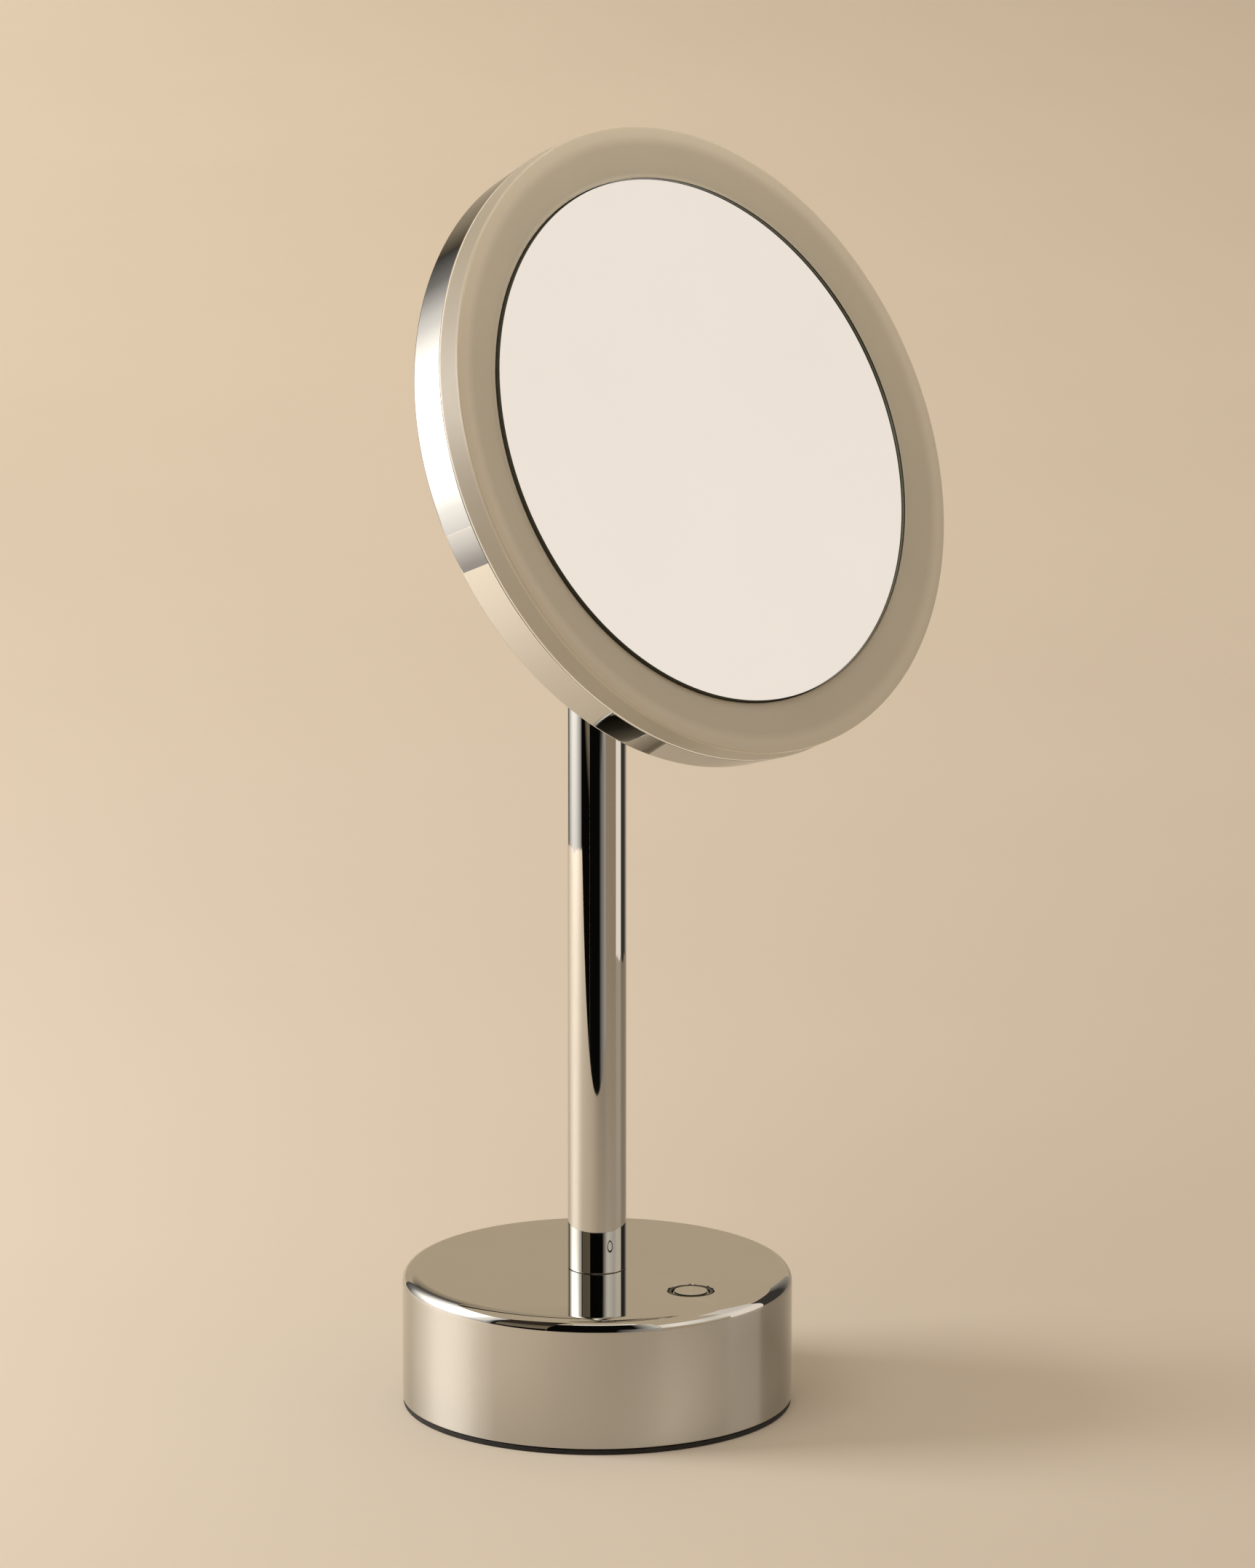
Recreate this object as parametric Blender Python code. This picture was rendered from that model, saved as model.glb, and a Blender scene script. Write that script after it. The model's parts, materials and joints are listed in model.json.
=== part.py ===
"""Lighted vanity mirror on a weighted round base.

Frame: origin on the table under the post's centre, +Z up, the mirror and the
button face -Y. Sizes below are in millimetres and are turned into metres once.
The head is modelled lying flat, its own +Z along the mirror's normal and its
origin on the tilt pin, and an empty on the pin gives it its tilt.
"""
import math

import bmesh
import bpy

MM = 0.001
GAP = 0.3                  # clearance between neighbouring pieces
LARGE, MEDIUM, SMALL = 48, 24, 12   # sides of round pieces, by their size

# Base
BASE_RADIUS = 60.0
BASE_TOP = 42.5            # height of the polished top above the table
BASE_EDGE_RADIUS = 4.2     # rounded edge between side and top
BASE_WALL = 2.5
PAD_THICKNESS = 1.6
PLATE_THICKNESS = 2.4
BALLAST_RADIUS = 54.0
BALLAST_THICKNESS = 12.0
BOSS_CIRCLE = 48.0         # radius on which the four screw bosses stand
BOSS_RADIUS = 4.0
BOSS_ANGLES = (45.0, 135.0, 225.0, 315.0)

# Button, in front of the post
BUTTON_Y = -39.3
BUTTON_RADIUS = 5.6
BUTTON_TRAVEL = 0.6
BUTTON_RING_WIDTH = 0.95

# Batteries and electronics
CELL_RADIUS = 7.25
CELL_LENGTH = 50.0
CELL_ROWS = (20.0, 35.5)   # y of the two cells
TRAY_WALL = 1.5
TRAY_DEPTH = 7.0
SOCKET_Z = 22.0
SOCKET_HALF_WIDTH, SOCKET_HALF_HEIGHT = 4.5, 1.6
BOARD_HALF, BOARD_FRONT, BOARD_REAR = 18.0, 11.5, 23.0   # control board's reach about the button
CRADLE_WALL = 2.0

# Post
POST_RADIUS = 9.0
POST_WALL = 1.3
POST_TOP = 266.0
STUD_RADIUS = 5.0
STUD_BORE = 3.2
CABLE_RADIUS = 2.0

# Swivel and tilt joint
PIVOT_Z = 287.5            # tilt pin above the table
BUSH_LOW = 249.3
CLIP_LOW, CLIP_TOP = 247.9, 248.9
WASHER_THICKNESS = 0.8
TILT_AT_REST = 24.5        # degrees the mirror faces up
SPINDLE_RADIUS = 4.0
SPINDLE_BORE = 2.5
SLOT_HALF = 4.2            # half width of the fork's slot
TONGUE_HALF = 3.0
TONGUE_RADIUS = 8.0
PIN_RADIUS = 2.5
SPOT_FACE_X = 7.4          # flat seats of the pin's head and nut
SPOT_FACE_RADIUS = 5.0
PIN_HEAD_RADIUS = 4.4
NUT_RADIUS, NUT_THICKNESS = 4.7, 2.4
STAND_NUT_RADIUS, STAND_NUT_THICKNESS = 9.2, 6.0
STAND_WASHER_RADIUS, STAND_WASHER_THICKNESS = 10.5, 1.2
PLUG_LOW, PLUG_DEPTH = 31.0, 16.0   # post foot plug: stud's lower end, reach into the tube

# Head, heights measured from the tilt pin along the mirror's normal
MIRROR_FRONT = 49.3
MIRROR_RADIUS = 81.5
MIRROR_THICKNESS = 3.2
HEAD_RADIUS = 97.8         # rear shell at its front edge
SHELL_REAR_RADIUS = 96.1   # the shell narrows to the rear
SHELL_REAR = 27.1
SHELL_FRONT = 41.1
SHELL_WALL = 2.0
SHELL_EDGE_RADIUS = 1.5
RING_OUTER = 97.7          # opal ring at its side wall
RING_CROWN = 49.8          # its highest circle, near the outer edge
RING_CROWN_RADIUS = 94.6
RING_LIP = 47.95           # its front beside the mirror, lower than the crown
RING_LIP_THICKNESS = 0.95
RING_WELL = 83.1           # inside radius of its inner wall, behind the lip
RING_FOOT = 34.0           # rear end of the inner wall
DIFFUSER_WALL = 1.8
SKIRT_DEPTH = 4.0          # how far the ring's skirt reaches into the shell
HUB_RADIUS = 14.0
HUB_SCREW_CIRCLE = 9.5
HUB_HOLE_LOW, HUB_SCREW_TIP = 20.4, 20.9
NECK_LOW = 10.5            # where the hub's round neck starts
NECK_RADIUS = 7.5
TONGUE_NECK = 6.2          # half width of the tongue where it joins the neck
LEAD_BORE = 2.2
LEAD_OUTLET_Z = 17.0
PILLAR_CIRCLE = 60.0
PILLAR_RADIUS = 3.6
CARRIER_LOW = 41.5
CARRIER_TOP = 45.0
CARRIER_SCREW_TIP = 32.0
GASKET_INNER = 78.0
LED_COUNT = 24
LED_HEIGHT = 0.9
LIGHT_OUTER = 92.3         # outer radius of the reflector and its board
REFLECTOR_TOP = 33.7
BOARD_THICKNESS = 1.6

# Screws
SCREW_RADIUS = 1.5
SCREW_HEAD_RADIUS = 2.8
SCREW_HOLE = SCREW_RADIUS + GAP
HEAD_HOLE = SCREW_HEAD_RADIUS + GAP
HEAD_THICKNESS = 1.6

# Heights inside the base, from the table up
HOUSING_LOW = PAD_THICKNESS + GAP
PLATE_TOP = HOUSING_LOW + PLATE_THICKNESS
BALLAST_LOW = PLATE_TOP + GAP
BALLAST_TOP = BALLAST_LOW + BALLAST_THICKNESS
DECK = BALLAST_TOP + GAP               # the tray, the cradle and the bosses stand here
CEILING = BASE_TOP - BASE_WALL
INNER_RADIUS = BASE_RADIUS - BASE_WALL
SCREW_SEAT = HOUSING_LOW + 1.5         # floor of the screw heads' recesses
BASE_SCREW_TIP = 28.0
BOARD_LOW, BOARD_TOP = 26.9, 28.5
SWITCH_BODY, SWITCH_TOP = 32.3, 33.8
SWITCH_HALF, PLUNGER_RADIUS = 3.0, 1.75
BUTTON_STEM = 2.0
BUTTON_FLANGE_LOW, BUTTON_FLANGE_TOP = 37.0, 38.2
RING_FLANGE_LOW, RING_FLANGE_TOP = 38.6, CEILING - GAP
BUTTON_RING_INNER = BUTTON_RADIUS + GAP
BUTTON_RING_OUTER = BUTTON_RING_INNER + BUTTON_RING_WIDTH

# Derived sizes of the joint and the head
FORK_LOW = POST_TOP + 2 * GAP + WASHER_THICKNESS   # shoulder that turns on the washer
SCREW_THIRDS = (90.0, 210.0, 330.0)
SHELL_FLOOR = SHELL_REAR + SHELL_WALL  # inside face of the rear shell
GLASS_REAR = MIRROR_FRONT - MIRROR_THICKNESS
RING_INNER = MIRROR_RADIUS + GAP
LIP_REAR = RING_LIP - RING_LIP_THICKNESS
CARRIER_RADIUS = RING_WELL - GAP

# Finish: base colour, roughness, metallic
FINISHES = {
    "polished_chrome": ((0.80, 0.78, 0.74), 0.06, 1.0),
    "steel": ((0.55, 0.55, 0.56), 0.35, 1.0),
    "cast_iron": ((0.13, 0.13, 0.14), 0.7, 0.6),
    "brass": ((0.72, 0.52, 0.22), 0.3, 1.0),
    "black_rubber": ((0.02, 0.02, 0.02), 0.85, 0.0),
    "black_plastic": ((0.03, 0.03, 0.03), 0.5, 0.0),
    "white_plastic": ((0.85, 0.85, 0.83), 0.45, 0.0),
    "opal": ((0.78, 0.71, 0.60), 0.35, 0.0),
    "mirror": ((0.93, 0.92, 0.90), 0.02, 1.0),
    "circuit_board": ((0.03, 0.17, 0.08), 0.5, 0.0),
    "cell_wrap": ((0.12, 0.30, 0.48), 0.4, 0.0),
}


def clear_scene():
    for obj in list(bpy.data.objects):
        bpy.data.objects.remove(obj, do_unlink=True)


def material(name, finish):
    color, roughness, metallic = FINISHES[finish]
    mat = bpy.data.materials.new(name)
    mat.use_nodes = True
    shader = mat.node_tree.nodes["Principled BSDF"]
    shader.inputs["Base Color"].default_value = (*color, 1.0)
    shader.inputs["Roughness"].default_value = roughness
    shader.inputs["Metallic"].default_value = metallic
    return mat


def piece(name, bm, finish, parent, location=(0, 0, 0), rotation=(0, 0, 0)):
    """Turn a bmesh in millimetres into a finished, smooth-shaded object."""
    bmesh.ops.recalc_face_normals(bm, faces=bm.faces)
    bmesh.ops.scale(bm, vec=(MM, MM, MM), verts=bm.verts)
    mesh = bpy.data.meshes.new(name)
    bm.to_mesh(mesh)
    bm.free()
    mesh.shade_smooth()
    mesh.set_sharp_from_angle(angle=math.radians(35))
    obj = bpy.data.objects.new(name, mesh)
    obj.data.materials.append(material(name, finish))
    obj.location = [c * MM for c in location]
    obj.rotation_euler = [math.radians(a) for a in rotation]
    obj.parent = parent
    bpy.context.scene.collection.objects.link(obj)
    return obj


def tool(target, bm, operation="DIFFERENCE", location=(0, 0, 0), rotation=(0, 0, 0)):
    """Cut the target with a hidden shape, or join the shape to it."""
    name = f"{target.name}_{operation.lower()}_{len(target.modifiers) + 1}"
    obj = piece(name, bm, "steel", target.parent, location, rotation)
    obj.hide_render = True
    obj.display_type = "WIRE"
    modifier = target.modifiers.new(name, "BOOLEAN")
    modifier.operation = operation
    modifier.solver = "EXACT"
    modifier.object = obj


def empty(name, location, parent=None, tilt=0.0):
    obj = bpy.data.objects.new(name, None)
    obj.location = [c * MM for c in location]
    obj.rotation_euler = (math.radians(tilt), 0, 0)
    obj.parent = parent
    obj.empty_display_size = 0.02
    bpy.context.scene.collection.objects.link(obj)
    return obj


def arc(center_r, center_z, radius, start, end, steps):
    """Points of an arc in the profile plane, angles in degrees from +r to +z."""
    points = []
    for i in range(steps + 1):
        angle = math.radians(start + (end - start) * i / steps)
        points.append((center_r + radius * math.cos(angle), center_z + radius * math.sin(angle)))
    return points


def turned(profile, sides, sweep=360.0):
    """Solid of revolution about Z from a closed outline of (radius, height).

    Corners lie half a step off the axes, so the shapes cross each other cleanly.
    """
    bm = bmesh.new()
    full = sweep == 360.0
    stations = sides if full else sides + 1
    rings = []
    for radius, height in profile:
        if radius == 0:
            rings.append([bm.verts.new((0, 0, height))] * stations)
            continue
        ring = []
        for i in range(stations):
            angle = math.radians(sweep * (i + 0.5) / sides)
            ring.append(bm.verts.new((radius * math.cos(angle), radius * math.sin(angle), height)))
        rings.append(ring)
    for near, far in zip(rings, rings[1:] + rings[:1]):
        for i in range(sides):
            j = (i + 1) % stations
            corners = list(dict.fromkeys((near[i], near[j], far[j], far[i])))
            if len(corners) > 2:
                bm.faces.new(corners)
    if not full:
        bm.faces.new([ring[0] for ring in rings])
        bm.faces.new([ring[-1] for ring in rings])
    return bm


def rod(radius, low, high, sides=SMALL):
    return turned([(0, low), (radius, low), (radius, high), (0, high)], sides)


def ring(inner, outer, low, high, sides):
    return turned([(inner, low), (outer, low), (outer, high), (inner, high)], sides)


def box(x, y, z):
    """Box from three (low, high) pairs."""
    bm = bmesh.new()
    bmesh.ops.create_cube(bm, size=1.0)
    for vert in bm.verts:
        for axis, (low, high) in enumerate((x, y, z)):
            vert.co[axis] = high if vert.co[axis] > 0 else low
    return bm


def prism(outline, low, high):
    """Extrude an outline of (y, z) points along X."""
    bm = bmesh.new()
    ends = [[bm.verts.new((x, y, z)) for y, z in outline] for x in (low, high)]
    for end in ends:
        bm.faces.new(end)
    for i in range(len(outline)):
        j = (i + 1) % len(outline)
        bm.faces.new((ends[0][i], ends[0][j], ends[1][j], ends[1][i]))
    return bm


def merged(parts):
    """Several separate solids in one bmesh, used for tools only."""
    bm = bmesh.new()
    for part in parts:
        mesh = bpy.data.meshes.new("part")
        part.to_mesh(mesh)
        part.free()
        bm.from_mesh(mesh)
        bpy.data.meshes.remove(mesh)
    return bm


def on_circle(circle, angle):
    turn = math.radians(angle)
    return (circle * math.cos(turn), circle * math.sin(turn), 0)


def around(circle, angles, make):
    """Copies of a shape on a circle."""
    shapes = []
    for angle in angles:
        shape = make()
        bmesh.ops.translate(shape, vec=on_circle(circle, angle), verts=shape.verts)
        shapes.append(shape)
    return merged(shapes)


def cable(path, radius, sides):
    """Round cord along a path that stays in the YZ plane."""
    bm = bmesh.new()
    rings = []
    for i, (y, z) in enumerate(path):
        before, after = path[max(i - 1, 0)], path[min(i + 1, len(path) - 1)]
        length = math.dist(before, after)
        side_y, side_z = -(after[1] - before[1]) / length, (after[0] - before[0]) / length
        loop = []
        for k in range(sides):
            angle = 2 * math.pi * (k + 0.5) / sides
            out = radius * math.sin(angle)
            loop.append(bm.verts.new((radius * math.cos(angle), y + side_y * out, z + side_z * out)))
        rings.append(loop)
    for near, far in zip(rings, rings[1:]):
        for k in range(sides):
            j = (k + 1) % sides
            bm.faces.new((near[k], near[j], far[j], far[k]))
    bm.faces.new(rings[0])
    bm.faces.new(rings[-1])
    return bm


def screw(head_low, head_high, tip):
    """Screw about Z, its head between two heights and its tip at a third."""
    head_radius = SCREW_HEAD_RADIUS
    if tip > head_high:
        outline = [(0, head_low), (head_radius, head_low), (head_radius, head_high),
                   (SCREW_RADIUS, head_high), (SCREW_RADIUS, tip - 1), (SCREW_RADIUS - 0.7, tip), (0, tip)]
    else:
        outline = [(0, tip), (SCREW_RADIUS - 0.7, tip), (SCREW_RADIUS, tip + 1), (SCREW_RADIUS, head_low),
                   (head_radius, head_low), (head_radius, head_high), (0, head_high)]
    return turned(outline, SMALL)


def base_housing(parent):
    edge = arc(BASE_RADIUS - BASE_EDGE_RADIUS, BASE_TOP - BASE_EDGE_RADIUS, BASE_EDGE_RADIUS, 0, 90, 5)
    outline = [(BASE_RADIUS, HOUSING_LOW)] + edge
    outline += [(STUD_RADIUS + GAP, BASE_TOP), (STUD_RADIUS + GAP, CEILING)]
    outline += [(INNER_RADIUS, CEILING), (INNER_RADIUS, HOUSING_LOW)]
    housing = piece("base_housing", turned(outline, LARGE), "polished_chrome", parent)
    boss = [(0, BASE_SCREW_TIP + 2), (SCREW_HOLE, BASE_SCREW_TIP + 2), (SCREW_HOLE, DECK),
            (BOSS_RADIUS, DECK), (BOSS_RADIUS, CEILING + 1), (0, CEILING + 1)]
    tool(housing, around(BOSS_CIRCLE, BOSS_ANGLES, lambda: turned(boss, SMALL)), "UNION")
    tool(housing, rod(BUTTON_RING_OUTER + GAP, CEILING - 1, BASE_TOP + 1, MEDIUM), location=(0, BUTTON_Y, 0))
    tool(housing, socket_shape(GAP, INNER_RADIUS - 3, BASE_RADIUS + 3))


def foot_pad(parent):
    rim = BASE_RADIUS - 0.3
    outline = [(0, 0), (rim - 0.3, 0), (rim, 0.3), (rim, PAD_THICKNESS), (0, PAD_THICKNESS)]
    piece("foot_pad", turned(outline, LARGE), "black_rubber", parent)


def bottom_plate(parent):
    plate = piece("bottom_plate", rod(INNER_RADIUS - GAP, HOUSING_LOW, PLATE_TOP, LARGE), "steel", parent)
    stepped = [(0, HOUSING_LOW - 1), (HEAD_HOLE, HOUSING_LOW - 1), (HEAD_HOLE, SCREW_SEAT),
               (SCREW_HOLE, SCREW_SEAT), (SCREW_HOLE, PLATE_TOP + 1), (0, PLATE_TOP + 1)]
    tool(plate, around(BOSS_CIRCLE, BOSS_ANGLES, lambda: turned(stepped, SMALL)))


def ballast_weight(parent):
    ballast = piece("ballast_weight", ring(10, BALLAST_RADIUS, BALLAST_LOW, BALLAST_TOP, LARGE),
                    "cast_iron", parent)
    holes = around(BOSS_CIRCLE, BOSS_ANGLES, lambda: rod(SCREW_HOLE, BALLAST_LOW - 1, BALLAST_TOP + 1))
    tool(ballast, holes)


def base_screws(parent):
    for number, angle in enumerate(BOSS_ANGLES, 1):
        shape = screw(HOUSING_LOW + GAP, SCREW_SEAT - GAP, BASE_SCREW_TIP)
        piece(f"base_screw_{number}", shape, "steel", parent, on_circle(BOSS_CIRCLE, angle))


def batteries(parent):
    length = CELL_LENGTH / 2 + GAP + TRAY_WALL
    rear = CELL_ROWS[1] + CELL_RADIUS + GAP + TRAY_WALL
    front = CELL_ROWS[0] - CELL_RADIUS - GAP - TRAY_WALL
    tray = piece("battery_tray", box((-length, length), (front, rear), (DECK, DECK + TRAY_DEPTH)),
                 "black_plastic", parent)
    inner = length - TRAY_WALL
    depth = (DECK + TRAY_WALL, DECK + TRAY_DEPTH + 2)
    tool(tray, box((-inner, inner), (front + TRAY_WALL, rear - TRAY_WALL), depth))
    cell_z = DECK + TRAY_WALL + GAP + CELL_RADIUS
    half = CELL_LENGTH / 2
    can = [(0, -half), (CELL_RADIUS, -half), (CELL_RADIUS, half - 1.5), (2.5, half - 1.5),
           (2.5, half), (0, half)]
    for name, y, turn in (("battery_cell_front", CELL_ROWS[0], 90), ("battery_cell_rear", CELL_ROWS[1], -90)):
        piece(name, turned(can, MEDIUM), "cell_wrap", parent, (0, y, cell_z), (0, turn, 0))


def control_electronics(parent):
    half, wall = BOARD_HALF, CRADLE_WALL
    front, rear = BUTTON_Y - BOARD_FRONT, BUTTON_Y + BOARD_REAR
    cradle = piece("board_cradle", box((-half, half), (front, rear), (DECK, BOARD_LOW - GAP)),
                   "black_plastic", parent)
    well = box((-half + wall, half - wall), (front + wall, rear - wall), (DECK + TRAY_WALL, BOARD_LOW + 1))
    tool(cradle, well)
    board = piece("control_board", box((-half, half), (front, rear), (BOARD_LOW, BOARD_TOP)),
                  "circuit_board", parent)
    chips = [box((-14, -6), (-30, -22), (BOARD_TOP - 0.5, BOARD_TOP + 1.4)),
             box((5, 13), (-28, -20), (BOARD_TOP - 0.5, BOARD_TOP + 3.0))]
    tool(board, merged(chips), "UNION")
    sides = (-SWITCH_HALF, SWITCH_HALF)
    switch = piece("tact_switch", box(sides, sides, (BOARD_TOP + GAP, SWITCH_BODY)),
                   "black_plastic", parent, (0, BUTTON_Y, 0))
    tool(switch, rod(PLUNGER_RADIUS, SWITCH_BODY - 0.5, SWITCH_TOP), "UNION", (0, BUTTON_Y, 0))


def power_button(parent):
    foot = SWITCH_TOP + BUTTON_TRAVEL + GAP
    outline = [(0, foot), (BUTTON_STEM, foot), (BUTTON_STEM, BUTTON_FLANGE_LOW),
               (BUTTON_RADIUS + 1, BUTTON_FLANGE_LOW),
               (BUTTON_RADIUS + 1, BUTTON_FLANGE_TOP), (BUTTON_RADIUS, BUTTON_FLANGE_TOP),
               (BUTTON_RADIUS, BASE_TOP - 0.3), (BUTTON_RADIUS - 0.3, BASE_TOP), (0, BASE_TOP)]
    piece("power_button", turned(outline, MEDIUM), "polished_chrome", parent, (0, BUTTON_Y, 0))


def button_ring(parent):
    flange = BUTTON_RING_OUTER + 1.5
    outline = [(BUTTON_RING_INNER, RING_FLANGE_LOW), (flange, RING_FLANGE_LOW), (flange, RING_FLANGE_TOP),
               (BUTTON_RING_OUTER, RING_FLANGE_TOP), (BUTTON_RING_OUTER, BASE_TOP),
               (BUTTON_RING_INNER, BASE_TOP)]
    piece("button_ring", turned(outline, MEDIUM), "black_plastic", parent, (0, BUTTON_Y, 0))


def socket_shape(grow, inner_y, outer_y):
    """Flat bar with round ends along Y, the shape of the charge socket."""
    half_width, half_height = SOCKET_HALF_WIDTH + grow, SOCKET_HALF_HEIGHT + grow
    bm = bmesh.new()
    ends = []
    for y in (inner_y, outer_y):
        loop = []
        for side, start in ((1, -90), (-1, 90)):
            for x, z in arc(side * (half_width - half_height), SOCKET_Z, half_height, start, start + 180, 6):
                loop.append(bm.verts.new((x, y, z)))
        bm.faces.new(loop)
        ends.append(loop)
    for i in range(len(ends[0])):
        j = (i + 1) % len(ends[0])
        bm.faces.new((ends[0][i], ends[0][j], ends[1][j], ends[1][i]))
    return bm


def charge_socket(parent):
    face = BASE_RADIUS - 0.4
    socket = piece("charge_socket", socket_shape(0, 50.0, face), "steel", parent)
    mouth_half, mouth_height = SOCKET_HALF_WIDTH - 1.2, SOCKET_HALF_HEIGHT - 0.7
    heights = (SOCKET_Z - mouth_height, SOCKET_Z + mouth_height)
    tool(socket, box((-mouth_half, mouth_half), (face - 5, face + 1), heights))


def stand_fasteners(parent):
    bore = STUD_RADIUS + GAP
    washer_top = CEILING - GAP
    washer_low = washer_top - STAND_WASHER_THICKNESS
    piece("stand_washer", ring(bore, STAND_WASHER_RADIUS, washer_low, washer_top, MEDIUM), "steel", parent)
    nut_top = washer_low - GAP
    nut_low = nut_top - STAND_NUT_THICKNESS
    nut = piece("stand_nut", rod(STAND_NUT_RADIUS, nut_low, nut_top, 6), "steel", parent)
    tool(nut, rod(bore, nut_low - 1, nut_top + 1, MEDIUM))


def post(parent):
    inside = POST_RADIUS - POST_WALL
    low = BASE_TOP + GAP
    piece("post_tube", ring(inside, POST_RADIUS, low, POST_TOP, MEDIUM), "polished_chrome", parent)
    plug = [(STUD_BORE, PLUG_LOW), (STUD_RADIUS, PLUG_LOW), (STUD_RADIUS, low), (inside - GAP, low),
            (inside - GAP, low + PLUG_DEPTH), (STUD_BORE, low + PLUG_DEPTH)]
    piece("post_foot_plug", turned(plug, MEDIUM), "steel", parent)
    piece("post_top_bush", ring(SPINDLE_RADIUS + GAP, inside - GAP, BUSH_LOW, POST_TOP, MEDIUM),
          "brass", parent)


def swivel_washers(swivel):
    low = POST_TOP + GAP - FORK_LOW
    washer = ring(SPINDLE_RADIUS + GAP, POST_RADIUS - 0.4, low, low + WASHER_THICKNESS, MEDIUM)
    piece("swivel_washer", washer, "black_plastic", swivel)
    inner, outer = SPINDLE_RADIUS - 0.6, 6.5
    clip = [(inner, CLIP_LOW), (outer, CLIP_LOW), (outer, CLIP_TOP), (inner, CLIP_TOP)]
    clip = [(radius, height - FORK_LOW) for radius, height in clip]
    piece("swivel_clip", turned(clip, 20, sweep=290.0), "steel", swivel)


def swivel_fork(swivel):
    pivot = PIVOT_Z - FORK_LOW
    spindle_low = CLIP_LOW - 3.0
    groove = SPINDLE_RADIUS - 0.9
    outline = [(SPINDLE_BORE, spindle_low - FORK_LOW), (SPINDLE_RADIUS, spindle_low - FORK_LOW)]
    for radius, height in ((SPINDLE_RADIUS, CLIP_LOW - GAP), (groove, CLIP_LOW - GAP),
                           (groove, CLIP_TOP + GAP), (SPINDLE_RADIUS, CLIP_TOP + GAP)):
        outline.append((radius, height - FORK_LOW))
    outline += [(SPINDLE_RADIUS, 0), (POST_RADIUS, 0)]
    bore_angle = math.degrees(math.acos(SPINDLE_BORE / POST_RADIUS))
    outline += arc(0, pivot, POST_RADIUS, 0, bore_angle, 7)
    fork = piece("swivel_fork", turned(outline, MEDIUM), "polished_chrome", swivel)
    slot_floor = pivot - TONGUE_RADIUS - 1.0
    tool(fork, box((-SLOT_HALF, SLOT_HALF), (-12, 12), (slot_floor, pivot + 12)))
    tool(fork, rod(PIN_RADIUS + GAP, -12, 12), location=(0, 0, pivot), rotation=(0, 90, 0))
    reaches = ((SPOT_FACE_X, 12), (-12, -SPOT_FACE_X))
    seats = merged([rod(SPOT_FACE_RADIUS, low, high, 24) for low, high in reaches])
    tool(fork, seats, location=(0, 0, pivot), rotation=(0, 90, 0))


def tilt_pin(swivel):
    pivot = (0, 0, PIVOT_Z - FORK_LOW)
    seat = SPOT_FACE_X + GAP
    end = -seat - NUT_THICKNESS - 0.2
    outline = [(0, end), (PIN_RADIUS, end), (PIN_RADIUS, seat), (PIN_HEAD_RADIUS, seat),
               (PIN_HEAD_RADIUS, seat + 1.0), (PIN_HEAD_RADIUS - 0.8, seat + 1.6), (0, seat + 1.9)]
    piece("tilt_pin", turned(outline, 24), "steel", swivel, pivot, (0, 90, 0))
    nut_low = -seat - NUT_THICKNESS
    nut = piece("tilt_pin_nut", rod(NUT_RADIUS, nut_low, -seat, 6), "steel", swivel, pivot, (0, 90, 0))
    tool(nut, rod(PIN_RADIUS + GAP, nut_low - 1, -seat + 1, 24), location=pivot, rotation=(0, 90, 0))
    washer_in, washer_out = TONGUE_HALF + GAP, SLOT_HALF - GAP
    for name, low in (("friction_washer_left", -washer_out), ("friction_washer_right", washer_in)):
        piece(name, ring(PIN_RADIUS + GAP, 6.5, low, low + washer_out - washer_in, 24),
              "black_plastic", swivel, pivot, (0, 90, 0))


def head_hub(head):
    flare = ((NECK_RADIUS + 0.8, 16.5), (NECK_RADIUS + 2.7, 18.8), (HUB_RADIUS, 20.6))
    neck = [(0, NECK_LOW), (NECK_RADIUS - 0.5, NECK_LOW), (NECK_RADIUS, NECK_LOW + 0.5), (NECK_RADIUS, 13.5)]
    neck += [*flare, (HUB_RADIUS, SHELL_REAR - GAP), (0, SHELL_REAR - GAP)]
    hub = piece("head_hub", turned(neck, MEDIUM), "polished_chrome", head)
    start = math.degrees(math.asin(TONGUE_NECK / TONGUE_RADIUS))
    join = NECK_LOW + 1.5
    rounded = [(y, z) for z, y in arc(0, 0, TONGUE_RADIUS, start, 360 - start, 24)]
    rounded += [(-TONGUE_NECK, join), (TONGUE_NECK, join)]
    tongue = prism(rounded, -TONGUE_HALF, TONGUE_HALF)
    tool(hub, tongue, "UNION")
    tool(hub, rod(PIN_RADIUS + GAP, -5, 5), rotation=(0, 90, 0))
    screw_holes = around(HUB_SCREW_CIRCLE, SCREW_THIRDS, lambda: rod(SCREW_HOLE, HUB_HOLE_LOW, SHELL_REAR + 1))
    tool(hub, screw_holes)
    tool(hub, rod(LEAD_BORE, LEAD_OUTLET_Z - 2, SHELL_REAR + 1))
    tool(hub, rod(LEAD_BORE - 0.1, 0, NECK_RADIUS * 2), location=(0, 0, LEAD_OUTLET_Z), rotation=(90, 0, 0))


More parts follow.
